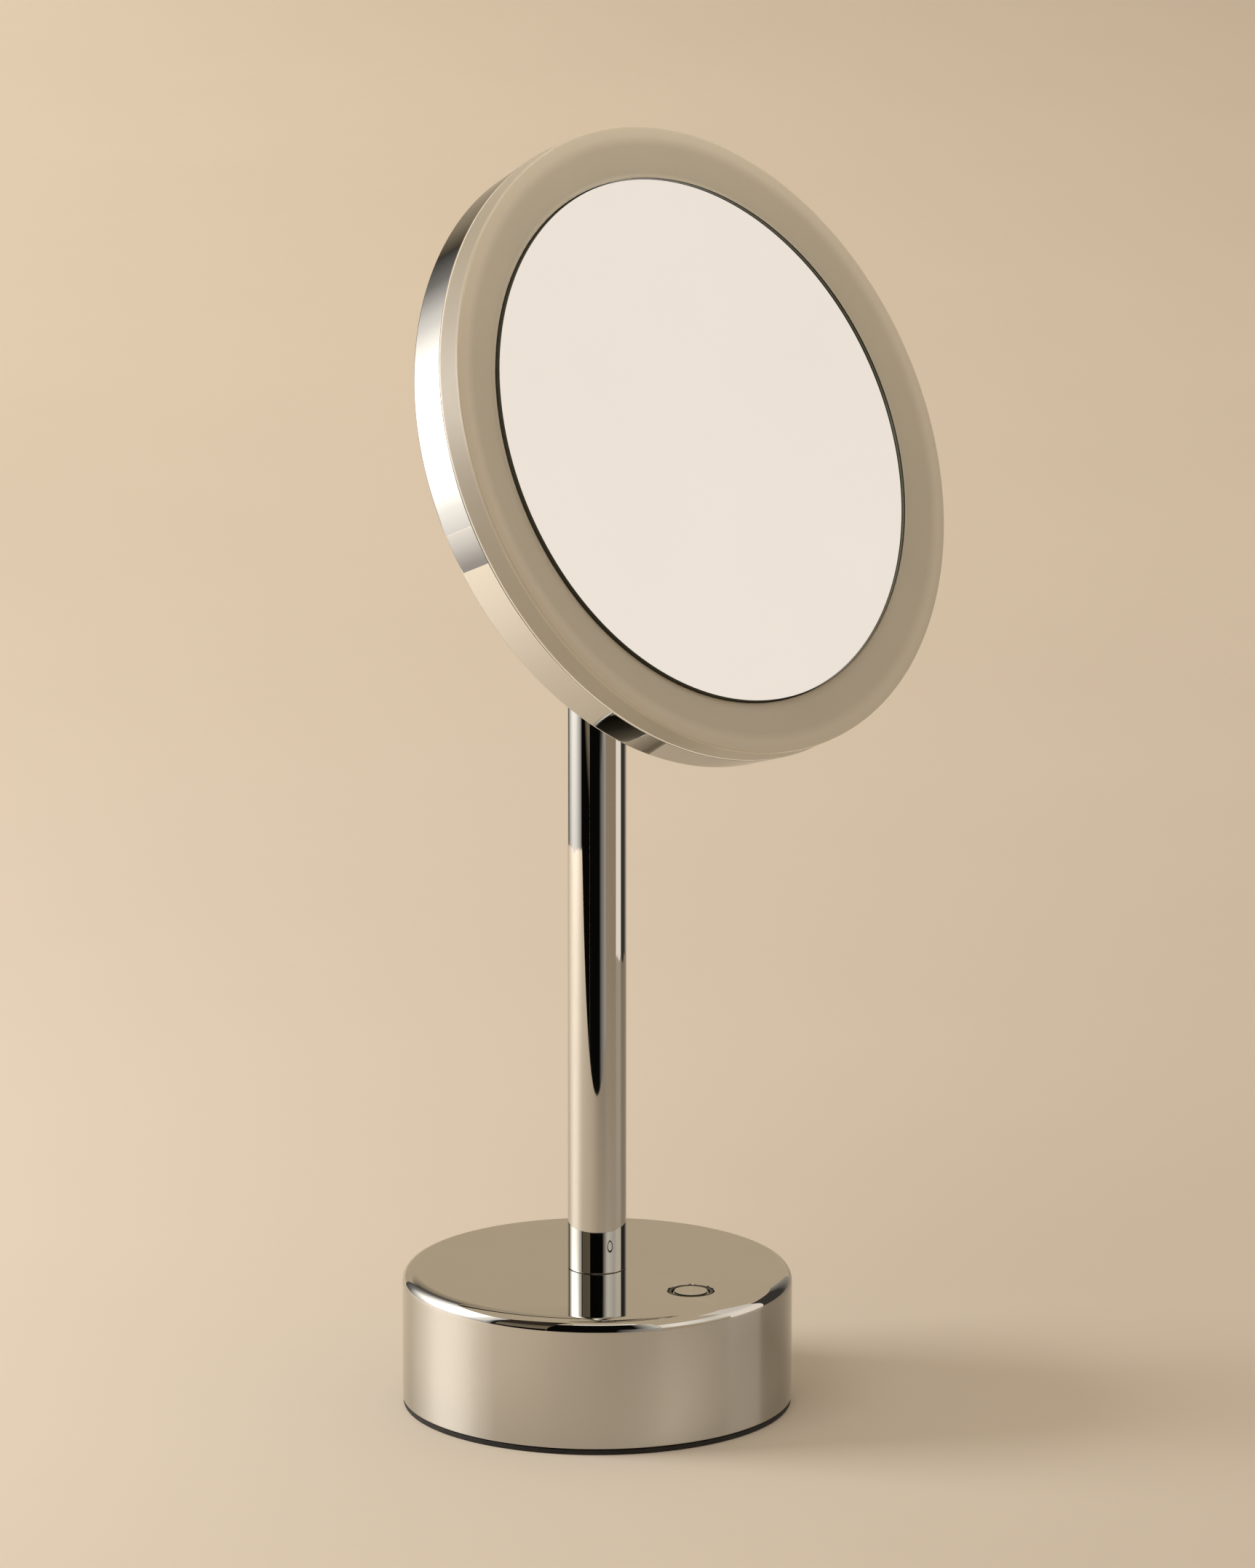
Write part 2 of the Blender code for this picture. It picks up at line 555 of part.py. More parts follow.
def rear_shell(head):
    mouth, inner = HEAD_RADIUS - SHELL_WALL, SHELL_REAR_RADIUS - SHELL_WALL
    step = SHELL_FRONT - SKIRT_DEPTH - GAP
    round_edge = SHELL_EDGE_RADIUS
    edge = arc(SHELL_REAR_RADIUS - round_edge, SHELL_REAR + round_edge, round_edge, -90, 0, 3)
    bore = LEAD_BORE + 0.8
    outline = [(bore, SHELL_REAR)] + edge + [(HEAD_RADIUS, SHELL_FRONT), (mouth, SHELL_FRONT), (mouth, step)]
    outline += [(inner, step - 1), (inner, SHELL_FLOOR), (bore, SHELL_FLOOR)]
    shell = piece("rear_shell", turned(outline, LARGE), "polished_chrome", head)
    hub_holes = around(HUB_SCREW_CIRCLE, SCREW_THIRDS, lambda: rod(SCREW_HOLE, SHELL_REAR - 1, SHELL_FLOOR + 1))
    tool(shell, hub_holes)
    pillar = [(0, SHELL_FLOOR - 1), (PILLAR_RADIUS, SHELL_FLOOR - 1), (PILLAR_RADIUS, CARRIER_LOW - GAP),
              (SCREW_HOLE, CARRIER_LOW - GAP), (SCREW_HOLE, SHELL_FLOOR + 1), (0, SHELL_FLOOR + 1)]
    tool(shell, around(PILLAR_CIRCLE, SCREW_THIRDS, lambda: turned(pillar, SMALL)), "UNION")


def light_diffuser(head):
    """Opal ring: its front rises from a lip beside the mirror to a crown near the edge."""
    edge, wall = 0.6, DIFFUSER_WALL
    shoulder = RING_CROWN - 0.4
    rim = SHELL_FRONT + GAP
    skirt = HEAD_RADIUS - SHELL_WALL - GAP
    outline = [(RING_WELL, RING_FOOT), (RING_WELL, LIP_REAR), (RING_INNER, LIP_REAR), (RING_INNER, RING_LIP),
               (RING_CROWN_RADIUS, RING_CROWN)]
    outline += arc(RING_OUTER - edge, shoulder - edge, edge, 78, 0, 2)
    outline += [(RING_OUTER, rim), (skirt, rim), (skirt, SHELL_FRONT - SKIRT_DEPTH),
                (skirt - wall, SHELL_FRONT - SKIRT_DEPTH), (skirt - wall, RING_CROWN - 2 * wall),
                (RING_CROWN_RADIUS - 4, RING_CROWN - wall - 0.4), (RING_WELL + wall, RING_LIP - wall),
                (RING_WELL + wall, RING_FOOT)]
    piece("light_diffuser", turned(outline, LARGE), "opal", head)


def mirror_glass(head):
    bevel = 0.4
    outline = [(0, GLASS_REAR), (MIRROR_RADIUS, GLASS_REAR), (MIRROR_RADIUS, MIRROR_FRONT - bevel),
               (MIRROR_RADIUS - bevel, MIRROR_FRONT), (0, MIRROR_FRONT)]
    piece("mirror_glass", turned(outline, LARGE), "mirror", head)


def mirror_gasket(head):
    """Angle section under and around the rear edge of the glass, hidden by the ring's lip."""
    seat, low, high = GLASS_REAR - GAP, CARRIER_TOP + GAP, LIP_REAR - GAP
    outline = [(GASKET_INNER, low), (CARRIER_RADIUS, low), (CARRIER_RADIUS, high), (RING_INNER, high),
               (RING_INNER, seat), (GASKET_INNER, seat)]
    piece("mirror_gasket", turned(outline, LARGE), "black_plastic", head)


def mirror_carrier(head):
    disc = rod(CARRIER_RADIUS, CARRIER_LOW, CARRIER_TOP, LARGE)
    carrier = piece("mirror_carrier", disc, "black_plastic", head)
    seat = CARRIER_TOP - HEAD_THICKNESS
    stepped = [(0, CARRIER_LOW - 1), (SCREW_HOLE, CARRIER_LOW - 1), (SCREW_HOLE, seat),
               (HEAD_HOLE, seat), (HEAD_HOLE, CARRIER_TOP + 1), (0, CARRIER_TOP + 1)]
    tool(carrier, around(PILLAR_CIRCLE, SCREW_THIRDS, lambda: turned(stepped, SMALL)))
    for number, angle in enumerate(SCREW_THIRDS, 1):
        shape = screw(seat + GAP, CARRIER_TOP, CARRIER_SCREW_TIP)
        piece(f"carrier_screw_{number}", shape, "steel", head, on_circle(PILLAR_CIRCLE, angle))


def light_unit(head):
    """Reflector and ring board; the LEDs stand out of the board's front."""
    inner, outer = RING_WELL, LIGHT_OUTER
    low = SHELL_FLOOR + GAP
    shelf = low + 1.1
    outline = [(inner, low), (outer, low), (outer, shelf), (inner + DIFFUSER_WALL, shelf),
               (inner + DIFFUSER_WALL, REFLECTOR_TOP), (inner, REFLECTOR_TOP)]
    piece("light_reflector", turned(outline, LARGE), "white_plastic", head)
    board_low = shelf + GAP
    bm = ring(inner + DIFFUSER_WALL + GAP, outer, board_low, board_low + BOARD_THICKNESS, 2 * LED_COUNT)
    bm.faces.ensure_lookup_table()
    bmesh.ops.recalc_face_normals(bm, faces=bm.faces)
    fronts = [face for face in bm.faces if face.normal.z > 0.9]
    fronts.sort(key=lambda face: math.atan2(face.calc_center_median().y, face.calc_center_median().x))
    leds = fronts[::2]
    bmesh.ops.inset_individual(bm, faces=leds, thickness=2.0)
    for face in leds:
        lifted = bmesh.ops.extrude_discrete_faces(bm, faces=[face])["faces"][0]
        bmesh.ops.translate(bm, vec=(0, 0, LED_HEIGHT), verts=lifted.verts)
    piece("led_board", bm, "white_plastic", head)


def driver_board(head):
    low = SHELL_FLOOR + GAP
    plate = box((-20, 20), (24, 48), (low, low + BOARD_THICKNESS))
    board = piece("driver_board", plate, "circuit_board", head)
    parts = [box((-15, -5), (28, 38), (low + 1, low + 4.5)), box((2, 8), (30, 44), (low + 1, low + 6.0))]
    tool(board, merged(parts), "UNION")
    lift = low + 3.6
    bend = 4.0
    path = [(0.0, 18.0), (0.0, lift - bend)]
    path += [(bend - bend * math.cos(math.radians(a)), lift - bend + bend * math.sin(math.radians(a)))
             for a in (22.5, 45, 67.5, 90)]
    path.append((26.0, lift))
    piece("head_lead", cable(path, 1.5, 12), "black_plastic", head)


def hub_screws(head):
    low = SHELL_FLOOR + GAP
    for number, angle in enumerate(SCREW_THIRDS, 1):
        shape = screw(low, low + HEAD_THICKNESS, HUB_SCREW_TIP)
        piece(f"hub_screw_{number}", shape, "steel", head, on_circle(HUB_SCREW_CIRCLE, angle))


def power_cable(parent):
    bend, low = 4.0, 24.0
    path = [(-14.5, low), (-bend, low)]
    path += [(-bend + bend * math.sin(math.radians(a)), low + bend - bend * math.cos(math.radians(a)))
             for a in (22.5, 45, 67.5, 90)]
    path.append((0.0, 262.0))
    piece("power_cable", cable(path, CABLE_RADIUS, SMALL), "black_plastic", parent)


def build():
    clear_scene()
    stand = empty("stand", (0, 0, 0))
    swivel = empty("swivel_axis", (0, 0, FORK_LOW), stand)
    head = empty("tilt_axis", (0, 0, PIVOT_Z - FORK_LOW), swivel, 90.0 - TILT_AT_REST)
    for make in (base_housing, foot_pad, bottom_plate, ballast_weight, base_screws, batteries,
                 control_electronics, power_button, button_ring, charge_socket, stand_fasteners,
                 post, power_cable):
        make(stand)
    swivel_washers(swivel)
    swivel_fork(swivel)
    tilt_pin(swivel)
    for make in (head_hub, rear_shell, light_diffuser, mirror_glass, mirror_gasket, mirror_carrier,
                 light_unit, driver_board, hub_screws):
        make(head)
    bpy.context.view_layer.update()


build()
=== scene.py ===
"""Looks of the lighted vanity mirror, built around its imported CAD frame."""
import json
import math

import bmesh
import bpy
from mathutils import Matrix, Vector


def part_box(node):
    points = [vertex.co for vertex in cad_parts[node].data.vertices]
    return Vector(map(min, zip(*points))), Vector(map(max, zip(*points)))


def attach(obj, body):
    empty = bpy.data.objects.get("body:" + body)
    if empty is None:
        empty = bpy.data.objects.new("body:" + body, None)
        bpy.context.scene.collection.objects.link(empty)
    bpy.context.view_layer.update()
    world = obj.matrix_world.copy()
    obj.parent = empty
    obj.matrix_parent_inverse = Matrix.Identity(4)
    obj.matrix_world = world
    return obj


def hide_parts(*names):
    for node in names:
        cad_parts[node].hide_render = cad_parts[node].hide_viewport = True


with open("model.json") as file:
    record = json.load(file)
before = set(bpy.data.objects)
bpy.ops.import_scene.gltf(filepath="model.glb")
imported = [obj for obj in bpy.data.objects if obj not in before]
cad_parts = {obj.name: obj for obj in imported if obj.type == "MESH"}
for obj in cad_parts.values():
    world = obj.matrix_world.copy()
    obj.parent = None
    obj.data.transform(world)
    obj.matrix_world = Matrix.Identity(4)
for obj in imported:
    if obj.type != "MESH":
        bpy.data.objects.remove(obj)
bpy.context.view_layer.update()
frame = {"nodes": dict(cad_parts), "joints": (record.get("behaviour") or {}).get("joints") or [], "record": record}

NODES = frame["nodes"]
JOINTS = {joint["name"]: joint for joint in frame["joints"]}
SLOTS = {part["node"]: part["material_slot"] for part in frame["record"]["subparts"]}

MM = 0.001
GAP = 0.3                       # clearance kept between pieces, as in the CAD
LARGE, MEDIUM, SMALL = 192, 96, 48   # sides of round pieces, by their size
SHARP = math.radians(32)        # edges that turn by more shade sharp
CUT_EDGE = math.radians(40)     # edges that turn by more are rounded after a cut
SUPPORT, LEAST_SUPPORT = 0.06, 0.002   # straight stretch kept on each side of a fillet
SCREW_BORE = 1.8                # radius of the screws' clearance holes
STAND = Matrix.Identity(4)

# Camera: angles in degrees, lens and sensor in millimetres, the rest in metres
CAMERA_AZIMUTH = -46.66         # at 0 the camera looks along +Y
CAMERA_ELEVATION = 13.25
CAMERA_DISTANCE = 3.0
CAMERA_LENS, CAMERA_SENSOR = 226.2, 36.0
CAMERA_CLIP = (0.05, 60.0)
AIM_HEIGHT = 0.18               # point on the post from which the distance is taken
AIM_RIGHT, AIM_UP = 0.00937, 0.01444   # the camera aims this far beside that point

# Studio: linear colours, and distances from the post in metres
BACKDROP = (0.67, 0.545, 0.39)  # warm surroundings as reflections see them
AMBIENT = (0.42, 0.32, 0.225)   # and as they light the scene
FLOOR_COLORS = ((0.70, 0.66, 0.59), (0.74, 0.70, 0.63))
FLOOR_RADIUS = 14000            # in millimetres
WARM, AMBER = (1.0, 0.93, 0.84), (1.0, 0.9, 0.76)
SOFTBOX_DISTANCE = 0.75         # of the cards on the left and behind
WINDOW_DISTANCE = 0.58          # of the cards on the right
ROOM_DISTANCE = 0.385           # of the cards on the camera's side
CARD_SCATTER = 0.25             # share of a card's light that is left after a diffuse bounce


# -------------------- measuring

def local_points(node, to_local):
    """A node's vertices in a local frame, in mm."""
    return [to_local @ vertex.co / MM for vertex in NODES[node].data.vertices]


def radius_of(point):
    """Distance from local Z."""
    return math.hypot(point.x, point.y)


def measure(node, to_local=STAND, low=-math.inf, high=math.inf):
    """Inner and outer radius about local Z, lowest and highest point, in mm, in a height band."""
    points = [p for p in local_points(node, to_local) if low <= p.z <= high]
    radii = [radius_of(p) for p in points]
    return min(radii), max(radii), min(p.z for p in points), max(p.z for p in points)


def mirror_normal():
    """Normal of the glass's front, which is its largest face toward the user."""
    faces = [face for face in NODES["mirror_glass"].data.polygons if face.normal.y < -0.3]
    return max(faces, key=lambda face: face.area).normal.copy()


def head_frame():
    """Frame on the tilt pin: Z along the mirror's normal, X along the pin."""
    z = mirror_normal()
    x = Vector((1, 0, 0))
    y = z.cross(x)
    turned_axes = Matrix((x, y, z)).transposed().to_4x4()
    return Matrix.Translation(JOINTS["head_tilt"]["pos_m"]) @ turned_axes


def center_of(node, to_local=STAND):
    """Middle of a node's box in a local frame, in metres."""
    points = local_points(node, to_local)
    spans = [[p[axis] for p in points] for axis in range(3)]
    return Vector([(min(span) + max(span)) / 2 * MM for span in spans])


def upright(spot):
    """Frame below or above a point, on the ground plane of the point's own frame."""
    return Matrix.Translation((spot.x, spot.y, 0))


HEAD = head_frame()
TO_HEAD = HEAD.inverted()
PIN = Matrix.Translation(JOINTS["head_tilt"]["pos_m"]) @ Matrix.Rotation(math.radians(90), 4, "Y")
TO_PIN = PIN.inverted()


def shell_front():
    """Front edge of the rear shell's rim, in the head's frame."""
    points = local_points("rear_shell", TO_HEAD)
    outer = max(radius_of(p) for p in points)
    return max(p.z for p in points if radius_of(p) > outer - 3)


def ring_lip():
    """Radius, rear and front of the opal ring's lip beside the mirror."""
    inner = measure("light_diffuser", TO_HEAD)[0]
    near = [p.z for p in local_points("light_diffuser", TO_HEAD) if radius_of(p) < inner + 0.1]
    return inner, min(near), max(near)


# -------------------- mesh tools

def outline(*corners, steps=5):
    """Closed profile of (radius, height[, fillet[, steps]]) corners with rounded corners.

    A short straight stretch is kept on both sides of each fillet, so that flats shade flat.
    """
    points = []
    count = len(corners)
    for i, corner in enumerate(corners):
        spot = Vector(corner[:2])
        fillet = corner[2] if len(corner) > 2 else 0
        if not fillet:
            points.append(tuple(spot))
            continue
        arms = [(Vector(corners[j][:2]) - spot) for j in (i - 1, (i + 1) % count)]
        room = min(arm.length for arm in arms)
        arms = [arm.normalized() for arm in arms]
        half = arms[0].angle(arms[1]) / 2
        reach = fillet / math.tan(half)
        centre = spot + (arms[0] + arms[1]).normalized() * (fillet / math.sin(half))
        start = spot + arms[0] * reach - centre
        turn = math.pi - 2 * half
        side = 1 if start.x * (spot - centre).y - start.y * (spot - centre).x > 0 else -1
        support = min(SUPPORT, (room - reach) * 0.25)
        if support > LEAST_SUPPORT:
            points.append(tuple(spot + arms[0] * (reach + support)))
        number = corner[3] if len(corner) > 3 else steps
        for k in range(number + 1):
            a = side * turn * k / number
            cos, sin = math.cos(a), math.sin(a)
            points.append((centre.x + (start.x * cos - start.y * sin),
                           centre.y + (start.x * sin + start.y * cos)))
        if support > LEAST_SUPPORT:
            points.append(tuple(spot + arms[1] * (reach + support)))
    return points


def turned(profile, sides):
    """Closed solid of revolution about Z from (radius, height) points."""
    bm = bmesh.new()
    angles = [2 * math.pi * (i + 0.5) / sides for i in range(sides)]
    rings = []
    for radius, height in profile:
        if radius < 1e-6:
            rings.append([bm.verts.new((0, 0, height))] * sides)
            continue
        rings.append([bm.verts.new((radius * math.cos(a), radius * math.sin(a), height))
                      for a in angles])
    for near, far in zip(rings, rings[1:] + rings[:1]):
        for i in range(sides):
            j = (i + 1) % sides
            corners = list(dict.fromkeys((near[i], near[j], far[j], far[i])))
            if len(corners) > 2:
                bm.faces.new(corners)
    return bm


def round_edges(bm, edges, width):
    bmesh.ops.bevel(bm, geom=edges, offset=width, segments=3, affect="EDGES", profile=0.5)


def extruded(points, low, high, round_edge=0.0):
    """Prism of an outline of (x, y) points between two heights."""
    bm = bmesh.new()
    face = bm.faces.new([bm.verts.new((x, y, low)) for x, y in points])
    raised = bmesh.ops.extrude_face_region(bm, geom=[face])["geom"]
    moved = [item for item in raised if isinstance(item, bmesh.types.BMVert)]
    bmesh.ops.translate(bm, vec=(0, 0, high - low), verts=moved)
    if round_edge:
        rims = [e for e in bm.edges if abs(e.verts[0].co.z - e.verts[1].co.z) < 1e-6]
        round_edges(bm, rims, round_edge)
    return bm


def slab(x, y, z, round_edge):
    """Box from three (low, high) pairs, with rounded edges."""
    bm = bmesh.new()
    bmesh.ops.create_cube(bm, size=1.0)
    for vert in bm.verts:
        for axis, (low, high) in enumerate((x, y, z)):
            vert.co[axis] = high if vert.co[axis] > 0 else low
    round_edges(bm, bm.edges[:], round_edge)
    return bm


def arc_points(radius, start, end, steps, x=0.0):
    """Points (x, y) on an arc between two angles in degrees, its centre on the x axis."""
    angles = [math.radians(start + (end - start) * i / steps) for i in range(steps + 1)]
    return [(x + radius * math.cos(a), radius * math.sin(a)) for a in angles]


def solid(name, bm, place=STAND):
    """Mesh object in world coordinates from a bmesh in mm in a local frame."""
    bmesh.ops.recalc_face_normals(bm, faces=bm.faces)
    mesh = bpy.data.meshes.new(name)
    bm.to_mesh(mesh)
    bm.free()
    mesh.transform(place @ Matrix.Scale(MM, 4))
    obj = bpy.data.objects.new(name, mesh)
    bpy.context.scene.collection.objects.link(obj)
    return obj


def apply_modifiers(obj):
    bpy.context.view_layer.update()
    evaluated = obj.evaluated_get(bpy.context.evaluated_depsgraph_get())
    fresh = bpy.data.meshes.new_from_object(evaluated)
    obj.modifiers.clear()
    old, obj.data = obj.data, fresh
    bpy.data.meshes.remove(old)


def combine(obj, bm, operation, place):
    """Cut a shape out of a piece, or join the shape to it."""
    other = solid("tool", bm, place)
    modifier = obj.modifiers.new("combine", "BOOLEAN")
    modifier.operation, modifier.solver, modifier.object = operation, "EXACT", other
    apply_modifiers(obj)
    mesh = other.data
    bpy.data.objects.remove(other)
    bpy.data.meshes.remove(mesh)


def cut(obj, bm, place=STAND):
    combine(obj, bm, "DIFFERENCE", place)


def drill(obj, radius, low, high, place):
    """Cut a round hole between two heights of a local frame."""
    cut(obj, turned([(0, low), (radius, low), (radius, high), (0, high)], SMALL), place)


def soften(obj, width):
    """Round the sharp edges that cuts have left."""
    modifier = obj.modifiers.new("soften", "BEVEL")
    modifier.width, modifier.segments = width * MM, 2
    modifier.limit_method, modifier.angle_limit = "ANGLE", CUT_EDGE
    apply_modifiers(obj)


def finish_piece(obj, material, body, *stands_for):
    """Shade, paint and hang a finished piece on its body in place of its CAD nodes."""
    obj.data.shade_smooth()
    obj.data.set_sharp_from_angle(angle=SHARP)
    obj.data.materials.clear()
    obj.data.materials.append(material)
    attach(obj, body)
    if stands_for:
        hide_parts(*stands_for)
    return obj


# -------------------- shader tools

def feed(tree, node, inputs):
    """Set a node's inputs, each to a value or to another node's output."""
    for key, item in inputs.items():
        if isinstance(item, bpy.types.NodeSocket):
            tree.links.new(item, node.inputs[key])
        else:
            node.inputs[key].default_value = item


def add(tree, kind, inputs=None, **settings):
    """Add a shader node with its settings and inputs."""
    node = tree.nodes.new("ShaderNode" + kind)
    for key, item in settings.items():
        setattr(node, key, item)
    feed(tree, node, inputs or {})
    return node


def value(tree, operation, a, b=0.0):
    return add(tree, "Math", {0: a, 1: b}, operation=operation).outputs[0]


def scaled(tree, a, factor, offset=0.0):
    inputs = {0: a, 1: factor, 2: offset}
    return add(tree, "Math", inputs, operation="MULTIPLY_ADD").outputs[0]


def noise(tree, scale, detail, roughness, stretch=(1, 1, 1), distortion=0.0):
    """Noise in the piece's own coordinates; scale is in cells per metre."""
    coords = add(tree, "TexCoord").outputs["Object"]
    mapped = add(tree, "Mapping", {"Vector": coords, "Scale": stretch}).outputs[0]
    node = add(tree, "TexNoise", {"Vector": mapped, "Scale": scale, "Detail": detail,
                                  "Roughness": roughness, "Distortion": distortion})
    return node.outputs["Fac"]


def ramp(tree, factor, *stops):
    node = add(tree, "ValToRGB", {"Fac": factor})
    elements = node.color_ramp.elements
    while len(elements) < len(stops):
        elements.new(0.5)
    for element, (position, color) in zip(elements, stops):
        element.position = position
        element.color = (*color, 1.0)
    return node.outputs["Color"]


def mixed(tree, factor, a, b):
    """Blend of two colours, each a socket or (r, g, b)."""
    node = add(tree, "Mix", data_type="RGBA")
    colors = [s for s in node.inputs if s.type == "RGBA"]
    for socket, item in zip((node.inputs["Factor"], *colors), (factor, a, b)):
        if isinstance(item, bpy.types.NodeSocket):
            tree.links.new(item, socket)
        else:
            socket.default_value = (*item, 1.0)
    return next(s for s in node.outputs if s.type == "RGBA")


def bump(tree, height, strength, distance):
    inputs = {"Height": height, "Strength": strength, "Distance": distance}
    return add(tree, "Bump", inputs).outputs[0]


def edge_mask(tree, low=0.52, high=0.60):
    """White along outer edges, where handling wears a finish first."""
    pointed = add(tree, "NewGeometry").outputs["Pointiness"]
    inputs = {"Value": pointed, "From Min": low, "From Max": high}
    return add(tree, "MapRange", inputs).outputs[0]


def new_material(name):
    material = bpy.data.materials.new(name)
    material.use_nodes = True
    return material, material.node_tree


def surface(material, inputs):
    """Set the inputs of a material's own shader."""
    tree = material.node_tree
    feed(tree, tree.nodes["Principled BSDF"], inputs)
    return material


# -------------------- materials

def polished_chrome():
    """Bright plating: faint wiping marks, a hint of smudge, and duller along worn edges."""
    material, tree = new_material("polished_chrome")
    smudge = noise(tree, 34, 4, 0.6)
    wiping = noise(tree, 900, 2, 0.5, stretch=(1, 1, 0.08))
    worn = edge_mask(tree, 0.53, 0.66)
    tint = mixed(tree, smudge, (0.585, 0.575, 0.545), (0.555, 0.548, 0.523))
    color = mixed(tree, scaled(tree, worn, 0.5), tint, (0.66, 0.65, 0.63))
    gloss = value(tree, "ADD", scaled(tree, smudge, 0.030, 0.006), scaled(tree, worn, 0.05))
    return surface(material, {"Base Color": color, "Metallic": 1.0, "Roughness": gloss,
                              "Specular Tint": (0.84, 0.84, 0.82, 1.0),
                              "Normal": bump(tree, wiping, 0.012, 0.00002)})


def brushed_steel():
    material, tree = new_material("steel")
    grain = noise(tree, 700, 3, 0.6, stretch=(1, 0.06, 1))
    stain = noise(tree, 90, 4, 0.6)
    worn = edge_mask(tree)
    color = mixed(tree, stain, (0.46, 0.46, 0.47), (0.58, 0.57, 0.55))
    color = mixed(tree, worn, color, (0.72, 0.72, 0.72))
    return surface(material, {"Base Color": color, "Metallic": 1.0,
                              "Roughness": scaled(tree, grain, 0.25, 0.2),
                              "Normal": bump(tree, grain, 0.25, 0.00005)})


def cast_iron():
    material, tree = new_material("cast_iron")
    skin = noise(tree, 620, 6, 0.65)
    rust = noise(tree, 40, 5, 0.6, distortion=0.6)
    color = ramp(tree, rust, (0.45, (0.055, 0.056, 0.06)), (0.62, (0.085, 0.08, 0.078)),
                 (0.78, (0.16, 0.07, 0.035)))
    return surface(material, {"Base Color": color, "Metallic": 0.55,
                              "Roughness": scaled(tree, skin, 0.3, 0.5),
                              "Normal": bump(tree, skin, 0.7, 0.0004)})


def brass():
    material, tree = new_material("brass")
    lines = noise(tree, 2400, 2, 0.5, stretch=(0.05, 0.05, 1))
    patina = noise(tree, 160, 4, 0.6)
    color = mixed(tree, patina, (0.68, 0.46, 0.17), (0.52, 0.33, 0.12))
    return surface(material, {"Base Color": color, "Metallic": 1.0,
                              "Roughness": scaled(tree, patina, 0.2, 0.15),
                              "Normal": bump(tree, lines, 0.3, 0.00004)})


def black_rubber():
    material, tree = new_material("black_rubber")
    pores = noise(tree, 3200, 4, 0.7)
    dust = noise(tree, 120, 5, 0.65)
    dusty = scaled(tree, dust, 1.6, -0.7)
    color = mixed(tree, dusty, (0.010, 0.0095, 0.009), (0.032, 0.029, 0.026))
    color = mixed(tree, scaled(tree, edge_mask(tree), 0.4), color, (0.07, 0.066, 0.06))
    return surface(material, {"Base Color": color, "Roughness": scaled(tree, pores, 0.25, 0.62),
                              "Normal": bump(tree, pores, 0.5, 0.00012)})


def black_plastic():
    material, tree = new_material("black_plastic")
    grain = noise(tree, 4200, 3, 0.6)
    haze = noise(tree, 70, 4, 0.6)
    color = mixed(tree, haze, (0.020, 0.016, 0.011), (0.034, 0.028, 0.020))
    color = mixed(tree, scaled(tree, edge_mask(tree), 0.5), color, (0.09, 0.085, 0.08))
    return surface(material, {"Base Color": color, "Roughness": scaled(tree, grain, 0.22, 0.36),
                              "Normal": bump(tree, grain, 0.35, 0.00006)})


def white_plastic():
    material, tree = new_material("white_plastic")
    grain = noise(tree, 3600, 3, 0.6)
    age = noise(tree, 45, 4, 0.6)
    color = mixed(tree, age, (0.80, 0.79, 0.75), (0.72, 0.70, 0.63))
    return surface(material, {"Base Color": color, "Roughness": scaled(tree, grain, 0.2, 0.35),
                              "Subsurface Weight": 0.1, "Subsurface Scale": 0.001,
                              "Normal": bump(tree, grain, 0.3, 0.00005)})


def head_position(tree):
    """Sockets with a point's distance from the head's axis and along it, in metres."""
    coords = add(tree, "TexCoord").outputs["Object"]
    pin, normal = HEAD.translation, HEAD.to_3x3().col[2]
    offset = add(tree, "VectorMath", {0: coords, 1: pin}, operation="SUBTRACT").outputs[0]
    along = add(tree, "VectorMath", {0: offset, 1: normal}, operation="DOT_PRODUCT")
    across = add(tree, "VectorMath", {0: offset, 1: normal}, operation="CROSS_PRODUCT")
    distance = add(tree, "VectorMath", {0: across.outputs[0]}, operation="LENGTH")
    return distance.outputs["Value"], along.outputs["Value"]


def between(tree, item, start, end, low, high):
    """Clamped linear step of a socket in metres, its ends given in millimetres."""
    inputs = {"Value": item, "From Min": start * MM, "From Max": end * MM,
              "To Min": low, "To Max": high}
    return add(tree, "MapRange", inputs).outputs[0]


def opal():
    """Satin moulded cover, milky, with painted highlights: lighter along its crown, beside its lip and at its
    foot, where a faint glow is painted on as a highlight line.
    """
    material, tree = new_material("opal")
    cloud = noise(tree, 26, 3, 0.5)
    skin = noise(tree, 5200, 3, 0.6)
    radius, along = head_position(tree)
    inner, _, lip = ring_lip()
    rim = shell_front()
    # Painted highlight: an outer band of the crown, above the lip's height, is made lighter
    crown_start, crown_end = 91.5, 94.5
    outside = between(tree, radius, crown_start, crown_end, 0, 1)
    crown = value(tree, "MULTIPLY", outside, between(tree, along, lip, lip + 1, 0, 1))
    # Painted light: lighter beside the lip, to lift the shade that falls there by the glass
    edge = between(tree, radius, inner, inner + 1.6, 1.0, 0.0)
    # Painted highlight: a thin lighter band at the foot, where the opal meets the chrome
    foot = between(tree, along, rim + 0.25, rim + 0.75, 1.0, 0.0)
    color = mixed(tree, cloud, (0.490, 0.475, 0.415), (0.545, 0.525, 0.455))
    color = mixed(tree, scaled(tree, crown, 0.28), color, (0.90, 0.88, 0.80))
    color = mixed(tree, scaled(tree, edge, 0.6), color, (0.90, 0.87, 0.78))
    color = mixed(tree, scaled(tree, foot, 0.8), color, (0.90, 0.86, 0.78))
    # Painted highlight: the same band at the foot also glows, as a bright highlight line
    glow = scaled(tree, value(tree, "POWER", foot, 1.5), 0.38)
    return surface(material, {"Base Color": color, "Roughness": scaled(tree, skin, 0.16, 0.26),
                              "IOR": 1.49, "Subsurface Weight": 0.55,
                              "Subsurface Radius": (1.0, 0.85, 0.65), "Subsurface Scale": 0.0022,
                              "Normal": bump(tree, skin, 0.12, 0.00004),
                              "Emission Color": (1.0, 0.90, 0.78, 1.0), "Emission Strength": glow})


